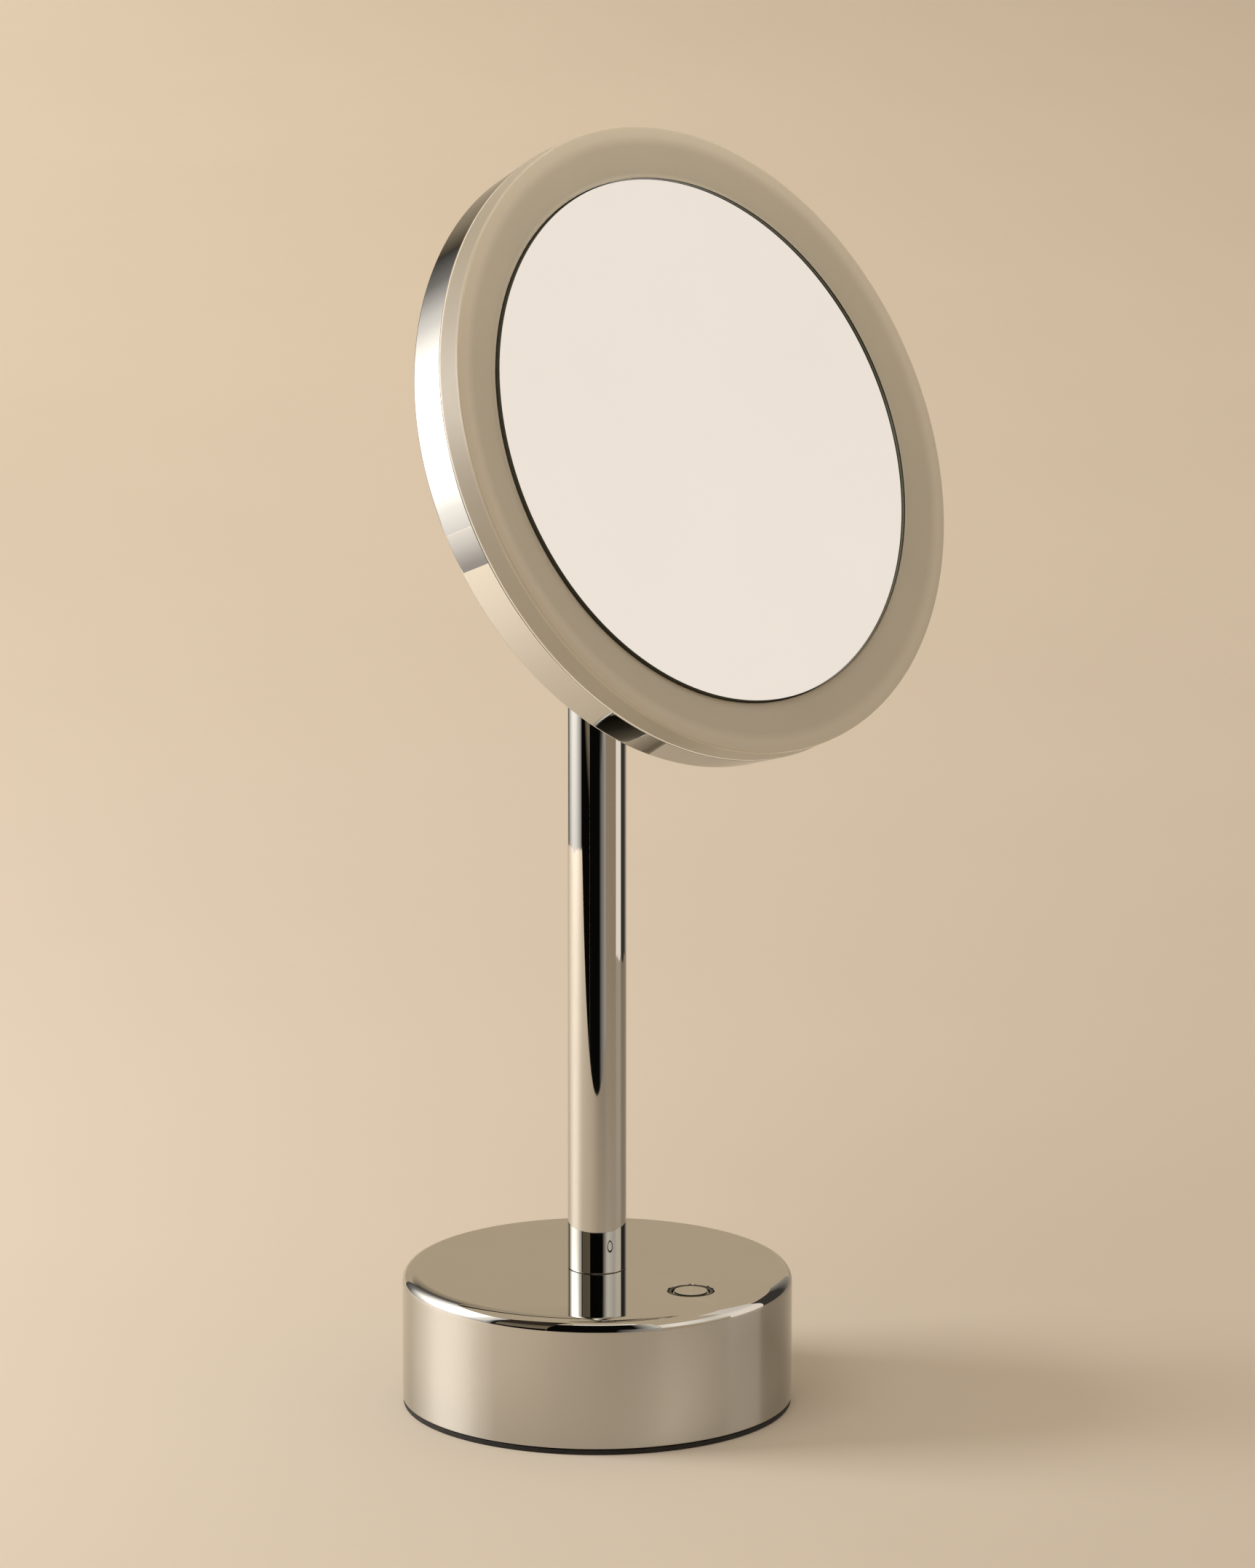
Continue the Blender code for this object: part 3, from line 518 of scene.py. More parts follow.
def mirror_silver():
    """Silvered float glass: clean face with the faintest wiping haze."""
    material, tree = new_material("mirror")
    haze = noise(tree, 18, 4, 0.6)
    film = noise(tree, 240, 3, 0.6, stretch=(1, 0.2, 1))
    gloss = scaled(tree, value(tree, "MULTIPLY", haze, film), 0.02)
    color = mixed(tree, haze, (0.90, 0.895, 0.885), (0.87, 0.865, 0.85))
    return surface(material, {"Base Color": color, "Metallic": 1.0, "Roughness": gloss,
                              "Normal": bump(tree, haze, 0.004, 0.0002)})


def glass_edge():
    """Ground edge of the glass: grey-green and slightly frosted."""
    material, tree = new_material("glass_edge")
    frost = noise(tree, 2600, 3, 0.7)
    color = mixed(tree, frost, (0.17, 0.20, 0.165), (0.26, 0.29, 0.25))
    return surface(material, {"Base Color": color, "Roughness": scaled(tree, frost, 0.3, 0.12),
                              "Normal": bump(tree, frost, 0.3, 0.00005)})


def glass_rim():
    """Polished side of the glass: almost black green, with a faint wavy gloss."""
    material, tree = new_material("glass_rim")
    wave = noise(tree, 300, 3, 0.6)
    color = mixed(tree, wave, (0.048, 0.050, 0.039), (0.070, 0.072, 0.057))
    return surface(material, {"Base Color": color, "Roughness": scaled(tree, wave, 0.2, 0.18),
                              "Specular IOR Level": 0.15, "Normal": bump(tree, wave, 0.1, 0.00005)})


def circuit_board():
    material, tree = new_material("circuit_board")
    coords = add(tree, "TexCoord").outputs["Object"]
    mapped = add(tree, "Mapping", {"Vector": coords, "Rotation": (0.4, 0.0, 0.78)}).outputs[0]
    tracks = add(tree, "TexBrick", {"Vector": mapped, "Scale": 420.0, "Mortar Size": 0.06,
                                    "Color1": (0, 0, 0, 1), "Color2": (0.2, 0.2, 0.2, 1),
                                    "Mortar": (1, 1, 1, 1)})
    pads = add(tree, "TexVoronoi", {"Vector": coords, "Scale": 260.0}).outputs["Distance"]
    metal = value(tree, "LESS_THAN", pads, 0.16)
    mask = mixed(tree, tracks.outputs["Color"], (0.008, 0.075, 0.030), (0.018, 0.145, 0.060))
    color = mixed(tree, metal, mask, (0.62, 0.58, 0.50))
    return surface(material, {"Base Color": color, "Metallic": metal, "Roughness": 0.32,
                              "Normal": bump(tree, tracks.outputs["Fac"], 0.4, 0.00008)})


def cell_wrap():
    """Shrink film round a battery cell, bare metal at its two ends."""
    material, tree = new_material("cell_wrap")
    wrinkle = noise(tree, 260, 4, 0.6, stretch=(3, 1, 1))
    coords = add(tree, "TexCoord").outputs["Object"]
    along = value(tree, "ABSOLUTE", add(tree, "SeparateXYZ", {"Vector": coords}).outputs["X"])
    low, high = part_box("battery_cell_front")
    half = (high.x - low.x) / 2
    bare_end, band_place, band_half_width = 0.0022, 0.008, 0.0015
    bare = value(tree, "GREATER_THAN", along, half - bare_end)
    inputs = {0: along, 1: half - band_place, 2: band_half_width}
    band = add(tree, "Math", inputs, operation="COMPARE").outputs[0]
    color = mixed(tree, wrinkle, (0.035, 0.11, 0.24), (0.055, 0.15, 0.30))
    color = mixed(tree, band, color, (0.75, 0.75, 0.72))
    color = mixed(tree, bare, color, (0.62, 0.62, 0.60))
    return surface(material, {"Base Color": color, "Metallic": bare,
                              "Roughness": scaled(tree, wrinkle, 0.25, 0.2),
                              "Normal": bump(tree, wrinkle, 0.2, 0.0001)})


MATERIALS = {
    "polished_chrome": polished_chrome(), "steel": brushed_steel(), "cast_iron": cast_iron(),
    "brass": brass(), "black_rubber": black_rubber(), "black_plastic": black_plastic(),
    "white_plastic": white_plastic(), "opal": opal(), "mirror": mirror_silver(),
    "circuit_board": circuit_board(), "cell_wrap": cell_wrap(),
}
CHROME, STEEL = MATERIALS["polished_chrome"], MATERIALS["steel"]
BLACK = MATERIALS["black_plastic"]


# -------------------- base

def base_housing():
    """Drum with a rounded top edge, four screw bosses, and holes for post, button and socket."""
    _, radius, low, high = measure("base_housing")
    wall, edge, boss_radius = 2.5, 4.2, 4.0
    ceiling = high - wall
    bore = measure("post_foot_plug", high=high - 1)[1] + GAP
    shell = solid("base_shell", turned(outline(
        (radius, low, 0.4), (radius, high, edge, 24), (bore, high, 0.2), (bore, ceiling, 0.2),
        (radius - wall, ceiling, 1.5), (radius - wall, low, 0.4)), LARGE))
    blind_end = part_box("base_screw_1")[1].z / MM + 2
    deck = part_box("ballast_weight")[1].z / MM + GAP
    boss = outline((0, blind_end), (SCREW_BORE, blind_end), (SCREW_BORE, deck, 0.2),
                   (boss_radius, deck, 0.4), (boss_radius, ceiling + 1), (0, ceiling + 1))
    for number in range(1, 5):
        place = upright(center_of(f"base_screw_{number}"))
        combine(shell, turned(boss, SMALL), "UNION", place)
    hole, lip = button_radii()[2] + GAP, 0.18
    bottom = high - 2 * wall
    countersunk = [(0, bottom), (hole, bottom), (hole, high - lip), (hole + lip, high),
                   (hole + lip, high + 1), (0, high + 1)]
    cut(shell, turned(countersunk, MEDIUM), upright(center_of("button_ring")))
    cut(shell, *socket_bar(GAP, 6.0))
    return finish_piece(shell, CHROME, "stand", "base_housing")


def button_radii():
    """Radii of the cap, and of the ring's inner and outer edge, at the base's top."""
    to_button = upright(center_of("power_button")).inverted()
    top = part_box("power_button")[1].z / MM
    cap = measure("power_button", to_button, low=top - 2)[1]
    inner, outer, _, _ = measure("button_ring", to_button, low=top - 2)
    return cap, inner, outer


def socket_bar(grow=0.0, extra=0.0):
    """Bar with round ends in the shape of the socket, wider and longer if asked, and its place."""
    low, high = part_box("charge_socket")
    half_width = (high.x - low.x) / 2 / MM + grow
    half_height = (high.z - low.z) / 2 / MM + grow
    half_length = (high.y - low.y) / MM / 2 + extra
    points = []
    for side, start in ((1, -90), (-1, 90)):
        middle = side * (half_width - half_height)
        points += arc_points(half_height, start, start + 180, 16, x=middle)
    place = Matrix.Translation((low + high) / 2) @ Matrix.Rotation(math.radians(-90), 4, "X")
    return extruded(points, -half_length, half_length), place


def foot_pad():
    """Rubber foot with a rounded edge and three grip grooves underneath."""
    _, radius, low, high = measure("foot_pad")
    groove = ((0, 0), (0.3, 0.5), (2.7, 0.5), (3.0, 0))
    corners = [(0, low)]
    for start in (18.0, 34.0, 50.0):
        corners += [(start + across, low + up, 0.15) for across, up in groove]
    corners += [(radius, low, 0.55), (radius, high, 0.35), (0, high)]
    pad = solid("rubber_foot", turned(outline(*corners, steps=4), LARGE))
    return finish_piece(pad, MATERIALS["black_rubber"], "stand", "foot_pad")


def power_button():
    """Flush cap with a shallow finger dish, a retaining flange and a stem."""
    place = upright(center_of("power_button"))
    low, high = (corner.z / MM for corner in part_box("power_button"))
    cap = button_radii()[0]
    flange = measure("power_button", place.inverted())[1]
    stem, flange_low, flange_top = 2.0, 37.0, 38.2
    profile = outline((0, low), (stem, low, 0.2), (stem, flange_low, 0.3),
                      (flange, flange_low, 0.3), (flange, flange_top, 0.3),
                      (cap, flange_top, 0.2), (cap, high, 0.28, 8))[:-1]
    dish, rim, steps = 0.16, cap - 0.55, 12
    for i in range(steps + 1):
        r = rim * (1 - i / steps)
        profile.append((r, high - dish * (1 - (r / rim) ** 2) ** 2))
    button = solid("button_cap", turned(profile, MEDIUM), place)
    return finish_piece(button, CHROME, "button", "power_button")


def button_ring():
    """Bezel in the base's top, with a flange under it."""
    place = upright(center_of("button_ring"))
    _, flange, low, high = measure("button_ring", place.inverted())
    _, inner, outer = button_radii()
    step = measure("button_ring", place.inverted(), high=high - 1)[3]
    top = high - 0.12
    ring = solid("button_bezel", turned(outline(
        (inner, low, 0.2), (flange, low, 0.2), (flange, step, 0.2), (outer, step, 0.1),
        (outer, top, 0.25), (inner, top, 0.25)), MEDIUM), place)
    return finish_piece(ring, BLACK, "stand", "button_ring")


def charge_socket():
    """Metal shell with a rounded mouth and a tongue inside it."""
    wall, mouth_depth = 0.35, 1.0
    bar, place = socket_bar()
    socket = solid("socket_shell", bar, place)
    inside, _ = socket_bar(-wall)
    cut(socket, inside, place @ Matrix.Translation((0, 0, mouth_depth * MM)))
    soften(socket, 0.08)
    finish_piece(socket, STEEL, "stand", "charge_socket")
    low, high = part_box("charge_socket")
    length = (high.y - low.y) / MM
    blade = slab((-3.2, 3.2), (-0.35, 0.35), (-length / 2 + 0.9, length / 2 - 1.2), 0.12)
    tongue = solid("socket_tongue", blade, place)
    return finish_piece(tongue, BLACK, "stand")


# -------------------- post and joint

def post_tube():
    """Tube that stands a hairline above the base's top."""
    inner, outer, _, high = measure("post_tube")
    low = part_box("base_housing")[1].z / MM + 0.05
    tube = solid("post", turned(outline(
        (outer, low, 0.25), (outer, high, 0.35), (inner, high, 0.2), (inner, low, 0.2)), MEDIUM))
    return finish_piece(tube, CHROME, "stand", "post_tube")


def washer(name, node, place, rounding, sides):
    inner, outer, low, high = measure(node, place.inverted())
    profile = outline((outer, low, rounding), (outer, high, rounding),
                      (inner, high, 0.1), (inner, low, 0.1))
    return finish_piece(solid(name, turned(profile, sides), place), BLACK, "yoke", node)


def swivel_washer():
    return washer("friction_disc", "swivel_washer", STAND, 0.2, MEDIUM)


def friction_washers():
    for side in ("left", "right"):
        washer(f"hinge_washer_{side}", f"friction_washer_{side}", PIN, 0.12, SMALL)


def swivel_fork():
    """Round fork with a domed top: spindle below, slot and bored cheeks above."""
    bore, outer, low, _ = measure("swivel_fork")
    pivot = JOINTS["head_tilt"]["pos_m"][2] / MM
    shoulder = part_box("swivel_washer")[1].z / MM + GAP
    spindle = measure("swivel_fork", high=shoulder - 1)[1]
    clip_low, clip_high = (corner.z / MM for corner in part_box("swivel_clip"))
    groove = spindle - 0.9
    profile = outline((bore, low, 0.2), (spindle, low, 0.4), (spindle, clip_low - GAP),
                      (groove, clip_low - GAP), (groove, clip_high + GAP),
                      (spindle, clip_high + GAP), (spindle, shoulder, 0.2),
                      (outer, shoulder, 0.3), (outer, pivot - 1), (bore, pivot - 1))[:-1]
    end = math.degrees(math.acos(bore / outer))
    profile += [(x, pivot + y) for x, y in arc_points(outer, 0, end, 20)]
    fork = solid("fork", turned(profile, MEDIUM))
    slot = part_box("friction_washer_right")[1].x / MM + GAP
    slot_floor = pivot - tongue_radius() - 1.0
    past, seat_radius = 14, 5.0     # past the fork's outside, and around the pin's head and nut
    cut(fork, slab((-slot, slot), (-past, past), (slot_floor, pivot + past), 0.5))
    drill(fork, pin_radius() + GAP, -past, past, PIN)
    for side in (1, -1):
        drill(fork, seat_radius, *sorted((side * spot_face(), side * past)), PIN)
    soften(fork, 0.22)
    return finish_piece(fork, CHROME, "yoke", "swivel_fork")


def tongue_radius():
    """Radius of the hub's tongue about the tilt pin."""
    points = local_points("head_hub", TO_HEAD)
    return max(math.hypot(p.y, p.z) for p in points if p.z < 0)


def pin_radius():
    """Radius of the tilt pin's shank."""
    points = local_points("tilt_pin", TO_PIN)
    return max(radius_of(p) for p in points if abs(p.z) < 8 and radius_of(p) < 3)


def spot_face():
    """Distance from the fork's middle to the faces under the pin's head and nut."""
    return -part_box("tilt_pin_nut")[1].x / MM - GAP


def tilt_pin():
    """Cross pin with a domed head and a hexagon recess, and a hexagon nut."""
    _, head, low, high = measure("tilt_pin", TO_PIN)
    shank, seat = pin_radius(), spot_face() + GAP
    pin = solid("hinge_pin", turned(outline(
        (0, low), (shank, low, 0.4), (shank, seat), (head, seat, 0.15), (head, seat + 0.9, 0.25),
        (head - 1.0, high - 0.1, 0.8), (0, high)), SMALL), PIN)
    recess_corner = 1.5 / math.cos(math.radians(30))
    cut(pin, extruded(arc_points(recess_corner, 0, 300, 5), high - 1.2, high + 1), PIN)
    finish_piece(pin, CHROME, "yoke", "tilt_pin")
    _, corner, low, high = measure("tilt_pin_nut", TO_PIN)
    nut = solid("hinge_nut", extruded(arc_points(corner, 30, 330, 5), low, high, 0.2), PIN)
    drill(nut, shank + GAP, low - 1, high + 1, PIN)
    return finish_piece(nut, CHROME, "yoke", "tilt_pin_nut")


def head_hub():
    """Neck that flares from the tongue to a flange under the head."""
    _, flange, _, rear = measure("head_hub", TO_HEAD)
    neck = outline((0, 10.5), (7.5, 10.5, 0.6), (7.5, 13.2, 4.0, 8), (10.4, 19.3, 6.0, 10),
                   (flange, 21.2, 0.5), (flange, rear, 0.3), (0, rear))
    hub = solid("neck", turned(neck, MEDIUM), HEAD)
    tongue, root, root_height = tongue_radius(), 6.2, 12.0
    half_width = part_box("friction_washer_right")[0].x / MM - GAP
    start = math.degrees(math.asin(root / tongue))
    rounded = [(y, z) for z, y in arc_points(tongue, start, 360 - start, 40)]
    shape = rounded + [(-root, root_height), (root, root_height)]
    across = HEAD @ Matrix(((0, 0, 1, 0), (1, 0, 0, 0), (0, 1, 0, 0), (0, 0, 0, 1)))
    combine(hub, extruded(shape, -half_width, half_width), "UNION", across)
    drill(hub, pin_radius() + GAP, -6, 6, PIN)
    drill(hub, 2.2, 15, rear + 1, HEAD)
    for number in range(1, 4):
        drill(hub, SCREW_BORE, 20.5, rear + 1, head_screw(f"hub_screw_{number}"))
    cable_outlet = HEAD @ Matrix.Translation((0, 0, 17.0 * MM))
    drill(hub, 2.1, 0, 16, cable_outlet @ Matrix.Rotation(math.radians(90), 4, "X"))
    soften(hub, 0.2)
    return finish_piece(hub, CHROME, "head", "head_hub")


def head_screw(name):
    """Frame on the axis of a screw in the head, its Z along the mirror's normal."""
    return HEAD @ upright(center_of(name, TO_HEAD))


# -------------------- head

def rear_shell():
    """Polished dish that narrows to the rear, with pillars for the mirror's carrier."""
    bore, radius, low, _ = measure("rear_shell", TO_HEAD)
    rear = measure("rear_shell", TO_HEAD, high=low + 1.6)[1]
    high, wall, pillar_radius = shell_front(), 2.0, 3.6
    deck, step = low + wall, high - 4.3
    shell = solid("rear_dish", turned(outline(
        (bore, low, 0.2), (rear, low, 1.5, 12), (radius, high, 0.2, 6),
        (radius - wall, high, 0.2), (radius - wall, step), (rear - wall, step - 1),
        (rear - wall, deck, 0.8), (bore, deck, 0.2)), LARGE), HEAD)
    top = measure("mirror_carrier", TO_HEAD)[2] - GAP
    pillar = outline((0, deck - 1), (pillar_radius, deck - 1), (pillar_radius, top, 0.3),
                     (SCREW_BORE, top, 0.2), (SCREW_BORE, deck + 1), (0, deck + 1))
    for number in range(1, 4):
        place = head_screw(f"carrier_screw_{number}")
        combine(shell, turned(pillar, SMALL), "UNION", place)
        drill(shell, SCREW_BORE, low - 1, deck + 1, head_screw(f"hub_screw_{number}"))
    return finish_piece(shell, CHROME, "head", "rear_shell")


def light_diffuser():
    """Opal ring: rises from its lip to a soft crown, with a crisp outer edge, wall and skirt."""
    _, outer, foot, crown = measure("light_diffuser", TO_HEAD)
    inner, lip_rear, lip = ring_lip()
    peak = radius_of(max(local_points("light_diffuser", TO_HEAD), key=lambda p: p.z))
    well = measure("light_diffuser", TO_HEAD, high=foot + 1)[0]
    rim, skirt, wall = shell_front(), outer - 1.9, 1.8
    seam, skirt_end = rim + 0.04, rim - 4.0
    ring = solid("opal_ring", turned(outline(
        (well, foot, 0.3), (well, lip_rear, 0.2), (inner, lip_rear, 0.2), (inner, lip, 0.3),
        (peak, crown + 0.05, 14.0, 12), (outer, crown - 0.35, 0.55, 10), (outer, seam, 0.1),
        (skirt, seam, 0.1), (skirt, skirt_end, 0.3), (skirt - wall, skirt_end, 0.3),
        (skirt - wall, crown - 2 * wall, 0.8), (peak - 4, crown - wall - 0.4, 2.0),
        (well + wall, lip - wall, 0.8), (well + wall, foot, 0.3)), LARGE), HEAD)
    return finish_piece(ring, MATERIALS["opal"], "head", "light_diffuser")


def mirror_glass():
    """Round mirror: silvered face set back behind a thin rim of bare glass that stands proud."""
    _, radius, low, high = measure("mirror_glass", TO_HEAD)
    face, rim, foot, tolerance = high - 0.8, radius - 0.12, 0.22, 0.02
    glass = solid("mirror_disc", turned(outline(
        (0, low), (radius, low, 0.2), (radius, high, 0.05, 2), (rim, high, 0.05, 2),
        (rim, face + foot), (rim, face), (0, face)), LARGE), HEAD)
    finish_piece(glass, MATERIALS["mirror"], "head", "mirror_glass")
    for material in (glass_rim(), glass_edge()):
        glass.data.materials.append(material)
    for polygon in glass.data.polygons:
        middle = TO_HEAD @ polygon.center / MM
        reach = radius_of(middle)
        if reach > rim - tolerance:
            in_foot = face < middle.z < face + foot and reach < rim + tolerance
            polygon.material_index = 2 if in_foot else 1
    return glass


def mirror_gasket():
    """Seal under the glass, with an upstand between the glass and the opal ring."""
    inner, outer, low, high = measure("mirror_gasket", TO_HEAD)
    upstand = ring_lip()[0]
    points = local_points("mirror_gasket", TO_HEAD)
    seat = max(p.z for p in points if radius_of(p) < inner + 0.2)
    corners = ((inner, low), (outer, low), (outer, high), (upstand, high), (upstand, seat),
               (inner, seat))
    profile = outline(*((*corner, 0.1) for corner in corners))
    gasket = solid("mirror_seal", turned(profile, LARGE), HEAD)
    return finish_piece(gasket, BLACK, "head", "mirror_gasket")


# -------------------- studio

def studio_point(right, toward, height):
    """Point at distances in metres to the picture's right and toward the camera from the post."""
    heading = math.radians(CAMERA_AZIMUTH)
    side = Vector((math.cos(heading), math.sin(heading), 0))
    front = Vector((math.sin(heading), -math.cos(heading), 0))
    return side * right + front * toward + Vector((0, 0, height))


def around(azimuth, distance, height):
    """Point at an azimuth in degrees: 0 the camera's side, 90 the picture's right, 180 behind."""
    turn = math.radians(azimuth)
    return studio_point(distance * math.sin(turn), distance * math.cos(turn), height)


def arc(distance, *azimuths):
    """Points on the floor round the post."""
    return [around(azimuth, distance, 0) for azimuth in azimuths]


def room_line(*rights):
    """Points on the floor on a straight line across the camera's side."""
    return [studio_point(right, ROOM_DISTANCE, 0) for right in rights]


def floor():
    """Pale satin floor, wide enough to reach past every view, without gloss for the camera."""
    bm = bmesh.new()
    bmesh.ops.create_circle(bm, cap_ends=True, segments=96, radius=FLOOR_RADIUS)
    obj = solid("studio_floor", bm)
    material, tree = new_material("floor_paper")
    mottle = noise(tree, 3.0, 4, 0.6)
    fibre = noise(tree, 900, 3, 0.6)
    color = mixed(tree, mottle, *FLOOR_COLORS)
    ray = add(tree, "LightPath").outputs
    color = mixed(tree, ray["Is Glossy Ray"], color, lit_from_left(tree, color))
    surface(material, {"Base Color": color, "Roughness": scaled(tree, mottle, 0.04, 0.34),
                       "IOR": 1.5, "Normal": bump(tree, fibre, 0.04, 0.0002),
                       "Specular IOR Level": scaled(tree, ray["Is Camera Ray"], -0.5, 0.5)})
    obj.data.materials.append(material)


def lit_from_left(tree, color):
    """The floor's colour as chrome sees it: brighter toward the softbox, darker to the right."""
    coords = add(tree, "TexCoord").outputs["Object"]
    side = studio_point(1, 0, 0)
    along = add(tree, "VectorMath", {0: coords, 1: side}, operation="DOT_PRODUCT").outputs["Value"]
    gain = add(tree, "MapRange", {"Value": along, "From Min": -0.10, "From Max": 0.15,
                                  "To Min": 1.24, "To Max": 0.76}).outputs[0]
    return add(tree, "VectorMath", {0: color, 3: gain}, operation="SCALE").outputs[0]


def surroundings():
    """Even warm light from all round; reflections see the backdrop's own colour."""
    world = bpy.data.worlds.new("studio")
    world.use_nodes = True
    tree = world.node_tree
    glossy = add(tree, "LightPath").outputs["Is Glossy Ray"]
    color = mixed(tree, glossy, AMBIENT, BACKDROP)
    tree.links.new(color, tree.nodes["Background"].inputs["Color"])
    bpy.context.scene.world = world


def soft_light(name, place, aim, size, radiance, color):
    """Area light of a given radiance that neither the camera nor reflections see."""
    data = bpy.data.lights.new(name, "AREA")
    data.shape, data.size, data.size_y = "RECTANGLE", size[0], size[1]
    data.energy, data.color = radiance * math.pi * size[0] * size[1], color
    obj = bpy.data.objects.new(name, data)
    obj.location = place
    obj.rotation_euler = (aim - place).to_track_quat("-Z", "Y").to_euler()
    obj.visible_camera = obj.visible_glossy = False
    bpy.context.scene.collection.objects.link(obj)
    return obj


def card(name, feet, heights, glow, tint=(1, 1, 1)):
    """Upright card seen only in reflections.

    feet are the points of its lower edge; glow has a row per height and a radiance per foot.
    """
    rows = [[Vector((foot.x, foot.y, height)) for foot in feet] for height in heights]
    return sheet(name, rows, glow, tint)


def sheet(name, rows, glow, tint):
    """Luminous sheet through rows of points, with a radiance at each, seen only in reflections."""
    bm = bmesh.new()
    layer = bm.verts.layers.float_color.new("glow")
    grid = []
    for points, values in zip(rows, glow):
        grid.append([bm.verts.new(point / MM) for point in points])
        for vert, radiance in zip(grid[-1], values):
            vert[layer] = (*(radiance * channel for channel in tint), 1.0)
    for low, high in zip(grid, grid[1:]):
        for i in range(len(low) - 1):
            bm.faces.new((low[i], low[i + 1], high[i + 1], high[i]))
    obj = solid(name, bm)
    material, tree = new_material(name)
    tree.nodes.clear()
    color = add(tree, "Attribute", attribute_name="glow").outputs["Color"]
    scattered = value(tree, "GREATER_THAN", add(tree, "LightPath").outputs["Diffuse Depth"], 0.5)
    strength = scaled(tree, scattered, CARD_SCATTER - 1, 1.0)
    emission = add(tree, "Emission", {"Color": color, "Strength": strength}).outputs[0]
    add(tree, "OutputMaterial", {"Surface": emission})
    obj.data.materials.append(material)
    obj.visible_camera = obj.visible_diffuse = obj.visible_shadow = False
    obj.visible_transmission = obj.visible_volume_scatter = False
    return material


def only_from_above(material, least_slope):
    """Make a sheet clear to rays that meet it flatter than a given slope."""
    tree = material.node_tree
    emission = next(node for node in tree.nodes if node.type == "EMISSION")
    output = next(node for node in tree.nodes if node.type == "OUTPUT_MATERIAL")
    incoming = add(tree, "NewGeometry").outputs["Incoming"]
    slope = add(tree, "SeparateXYZ", {0: incoming}).outputs["Z"]
    steep = value(tree, "GREATER_THAN", slope, least_slope)
    clear = add(tree, "BsdfTransparent").outputs[0]
    blend = add(tree, "MixShader", {0: steep, 1: clear, 2: emission.outputs[0]})
    tree.links.new(blend.outputs[0], output.inputs["Surface"])


def lighting():
    """Soft lights, some for the opal ring alone, some aimed at the backdrop, and the cards chrome reflects."""
    surroundings()
    foot, post = Vector((0, 0, 0.05)), Vector((0, 0, 0.3))
    ring = bpy.data.objects["opal_ring"]
    key = soft_light("key_left", around(-91, 1.4, 0.42), foot, (0.75, 0.5), 19.0,
                     (1.0, 0.93, 0.86))
    link_light(key, ring, "EXCLUDE")
    side = soft_light("ring_side", around(-100, 1.3, 0.85), foot, (0.75, 0.5), 3.2,
                      (1.0, 0.94, 0.88))
    link_light(side, ring, "INCLUDE")
    top = soft_light("overhead", around(-35, 0.75, 1.15), post, (0.8, 0.6), 1.6,
                     (1.0, 0.95, 0.88))
    link_light(top, ring, "EXCLUDE")
    wash = soft_light("backdrop_wash", studio_point(-1.2, -2.6, 1.0),
                      studio_point(0.4, -2.6, 0.0), (4.4, 1.2), 1.75, AMBER)
    right = soft_light("backdrop_right", studio_point(-0.3, -2.4, 0.9),
                       studio_point(0.0, -2.6, 0.0), (3.6, 1.2), 0.27, AMBER)
    for light in (wash, right):
        cast_no_shadows(light)
    above_ring = HEAD @ Vector((0, 0.28, 0.30))
    fill = soft_light("ring_fill", above_ring, HEAD.translation, (0.25, 0.25), 3.1, AMBER)
    link_light(fill, ring, "INCLUDE")
    reflected_left()
    reflected_room()
    reflected_right()


def cast_no_shadows(light):
    """Let nothing but the flat floor block a light, so that no piece casts its shadow."""
    blockers = bpy.data.collections.new(f"{light.name}_blockers")
    blockers.objects.link(bpy.data.objects["studio_floor"])
    light.light_linking.blocker_collection = blockers


def link_light(light, obj, state):
    """Let a light fall on one object only, or on all but that one."""
    linked = bpy.data.collections.new(f"{light.name}_link")
    linked.objects.link(obj)
    light.light_linking.receiver_collection = linked
    linked.collection_objects[0].light_linking.link_state = state


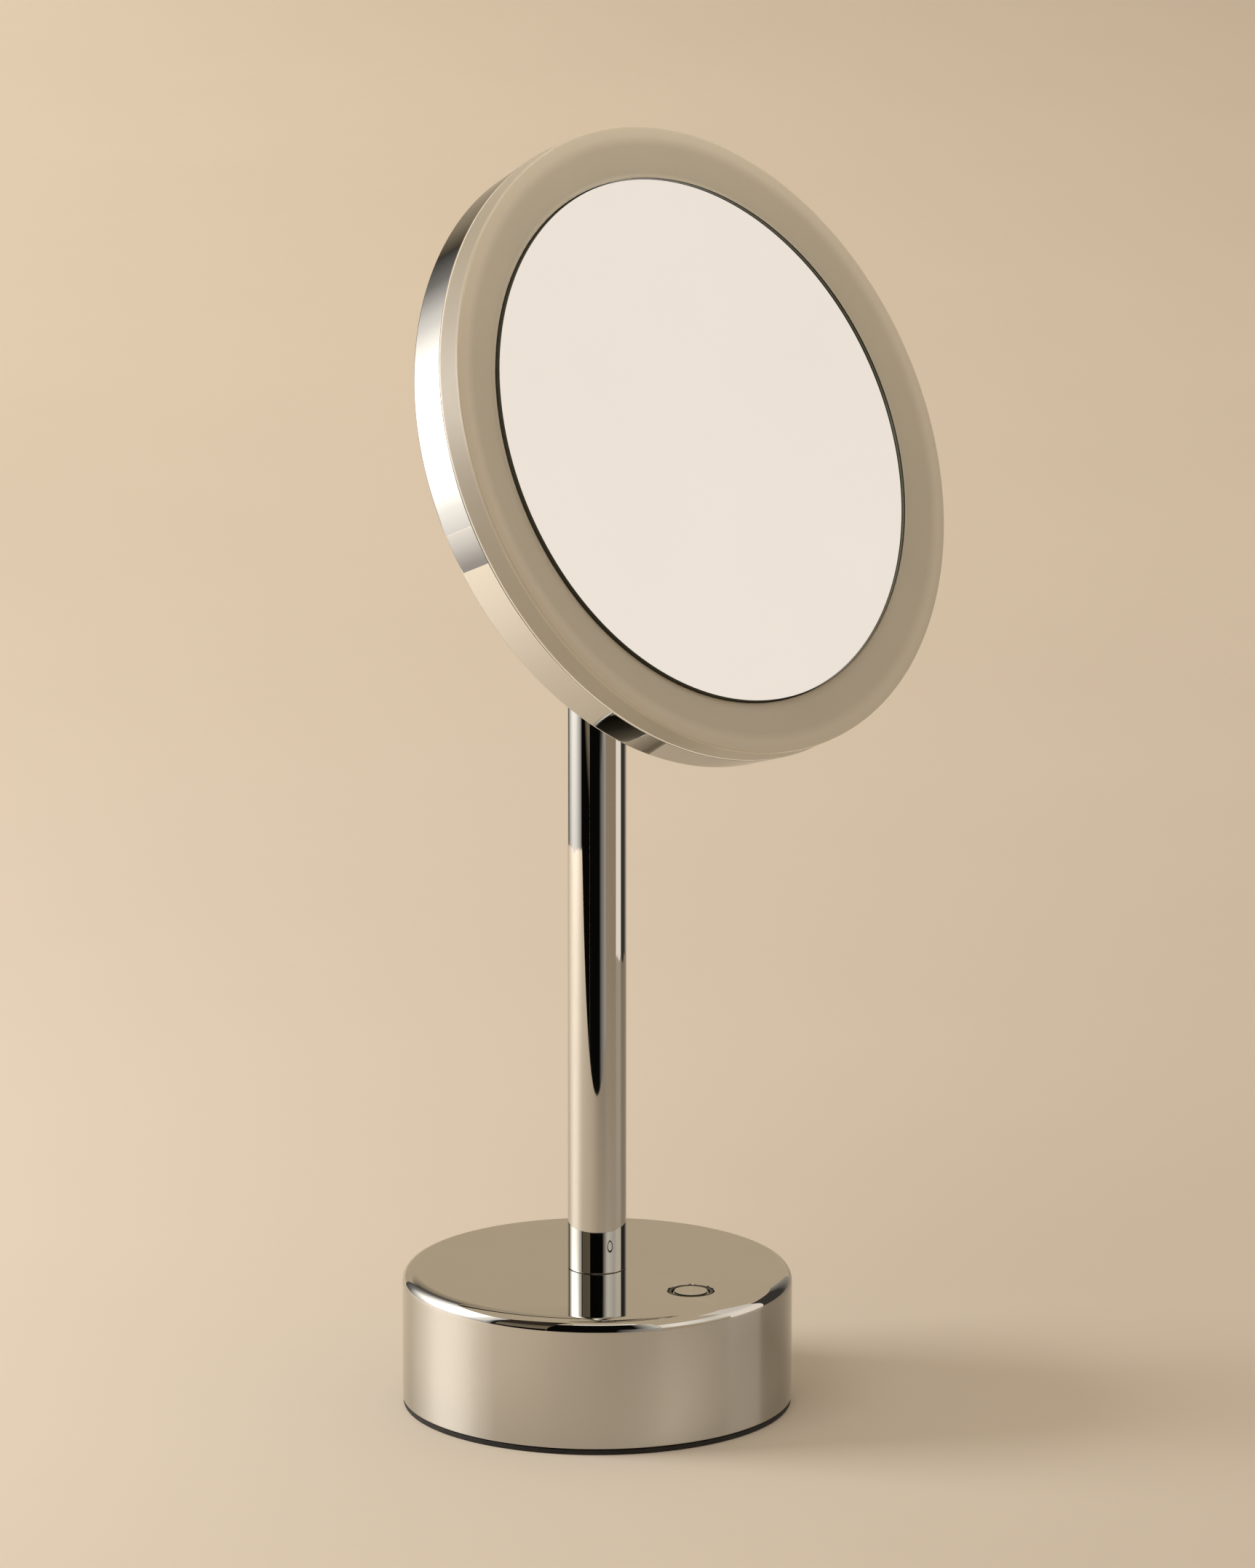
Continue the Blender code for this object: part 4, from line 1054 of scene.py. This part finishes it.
def reflected_left():
    """Softbox on the left: white in its middle, falling off smoothly round to the back."""
    feet = arc(SOFTBOX_DISTANCE, -147, -137, -127, -118, -107, -89, -78, -74, -66, -62)
    card("left_softbox", feet, (0.0, 0.08, 0.17, 0.24, 0.31, 0.45, 0.60, 0.78),
         ((0.08, 0.20, 0.75, 0.95, 1.3, 1.2, 0.9, 0.75, 0.5, 0.2),
          (0.08, 0.25, 0.90, 1.30, 1.7, 1.6, 1.1, 0.85, 0.6, 0.2),
          (0.08, 0.33, 1.40, 2.10, 3.4, 2.7, 1.8, 1.35, 0.9, 0.2),
          (0.08, 0.33, 1.65, 2.60, 4.0, 3.0, 2.0, 1.45, 1.0, 0.2),
          (0.08, 0.33, 1.40, 2.60, 7.5, 7.5, 4.0, 1.60, 1.1, 0.2),
          (0.08, 0.33, 1.15, 2.00, 7.5, 7.5, 4.0, 1.60, 1.1, 0.2),
          (0.08, 0.30, 1.00, 1.50, 4.0, 4.0, 2.6, 1.50, 1.0, 0.2),
          (0.08, 0.25, 0.80, 1.20, 1.9, 2.0, 1.6, 1.30, 0.9, 0.2)), (1.0, 0.95, 0.90))
    card("back_left", arc(SOFTBOX_DISTANCE, -180, -166, -157, -147), (0.27, 0.36, 0.78),
         ((0.64, 0.66, 0.60, 0.4), *((0.60, 0.48, 0.36, 0.08),) * 2), (1.0, 0.81, 0.58))
    card("softbox_frame", arc(SOFTBOX_DISTANCE, -62, -56), (0.0, 0.78), ((0.02, 0.02),) * 2)
    # Just above the floor, for what the base's side reflects: a painted pool of the softbox's light on the floor,
    # brightest toward the softbox
    rows = [[studio_point(x, y, MM) for x in (-0.74, -0.64, -0.52, -0.495)] for y in (-0.25, 0.25)]
    shade = sheet("softbox_floor_glare", rows, ((1.4, 1.1, 0.56, 0.52),) * 2, (1.0, 0.92, 0.85))
    only_from_above(shade, 0.3)
    # High up behind, for the underside of the head's rim
    rows = [[studio_point(x, y, 1.0) for x in (-0.75, 0.02)] for y in (-0.50, -0.60, -0.70, -0.80)]
    glow = [(radiance, radiance) for radiance in (0.004, 0.04, 0.2, 0.7)]
    sheet("dark_ceiling", rows, glow, (1.0, 0.84, 0.62))


def reflected_room():
    """Dark room on the camera's side, with a brown glimmer on its left and a bright strip above."""
    card("room_dark", room_line(-0.20, 0.07, 0.09, 0.15, 0.27), (0.0, 0.11, 0.14, 0.48),
         (*((0.004, 0.004, 0.12, 0.30, 0.55),) * 2, (0.004, 0.004, 0.004, 0.004, 0.9),
          (0.004, 0.004, 0.004, 0.004, 1.0)), WARM)
    card("room_strip", room_line(-0.12, 0.2), (0.482, 0.60), ((1.4, 1.4),) * 2, WARM)
    card("room_brown", room_line(-0.9, -0.201), (0.0, 0.09, 0.11, 0.26, 0.36, 1.2),
         (*((0.004, 0.004),) * 2, (0.27, 0.27), (0.3, 0.2), *((0.06, 0.04),) * 2),
         (1.0, 0.80, 0.55))


def reflected_right():
    """Wide window low on the right, its upper part before the mirror, and the wall behind it."""
    card("right_glow", arc(WINDOW_DISTANCE, 36, 45, 70, 80), (0.12, 0.36),
         ((1.1, 1.3, 0.95, 1.1),) * 2, WARM)
    card("right_panel", arc(WINDOW_DISTANCE, 80, 88, 108), (0.0, 0.2, 0.36),
         ((1.2, 1.25, 1.2), (1.2, 1.25, 1.2), (1.0, 1.0, 0.9)), (1.0, 0.9, 0.79))
    card("right_window", arc(WINDOW_DISTANCE, 81, 96, 112), (0.361, 0.74),
         ((0.96, 0.95, 0.93), (0.95, 0.94, 0.92)), (1.0, 0.91, 0.82))
    card("right_dark", arc(WINDOW_DISTANCE, 108.2, 134, 152), (0.0, 0.34),
         ((0.06, 0.06, 0.44),) * 2, (1.0, 0.9, 0.8))


def camera():
    data = bpy.data.cameras.new("camera")
    data.lens, data.sensor_width = CAMERA_LENS, CAMERA_SENSOR
    data.clip_start, data.clip_end = CAMERA_CLIP
    obj = bpy.data.objects.new("camera", data)
    anchor = Vector((0, 0, AIM_HEIGHT))
    rise = math.radians(CAMERA_ELEVATION)
    back = studio_point(0, math.cos(rise), math.sin(rise))
    obj.location = anchor + back * CAMERA_DISTANCE
    right = Vector((0, 0, 1)).cross(back).normalized()
    aim = anchor + right * AIM_RIGHT + back.cross(right) * AIM_UP
    obj.rotation_euler = (aim - obj.location).to_track_quat("-Z", "Y").to_euler()
    bpy.context.scene.collection.objects.link(obj)
    bpy.context.scene.camera = obj


def paint_hidden_nodes():
    """Every CAD node gets its slot's procedural finish, also those deep inside."""
    for name, node in NODES.items():
        node.data.materials.clear()
        node.data.materials.append(MATERIALS[SLOTS[name]])


def build():
    paint_hidden_nodes()
    for make in (base_housing, foot_pad, power_button, button_ring, charge_socket, post_tube,
                 swivel_washer, swivel_fork, tilt_pin, friction_washers, head_hub, rear_shell,
                 light_diffuser, mirror_glass, mirror_gasket, floor, lighting, camera):
        make()
    bpy.context.scene.view_settings.view_transform = "Standard"


build()
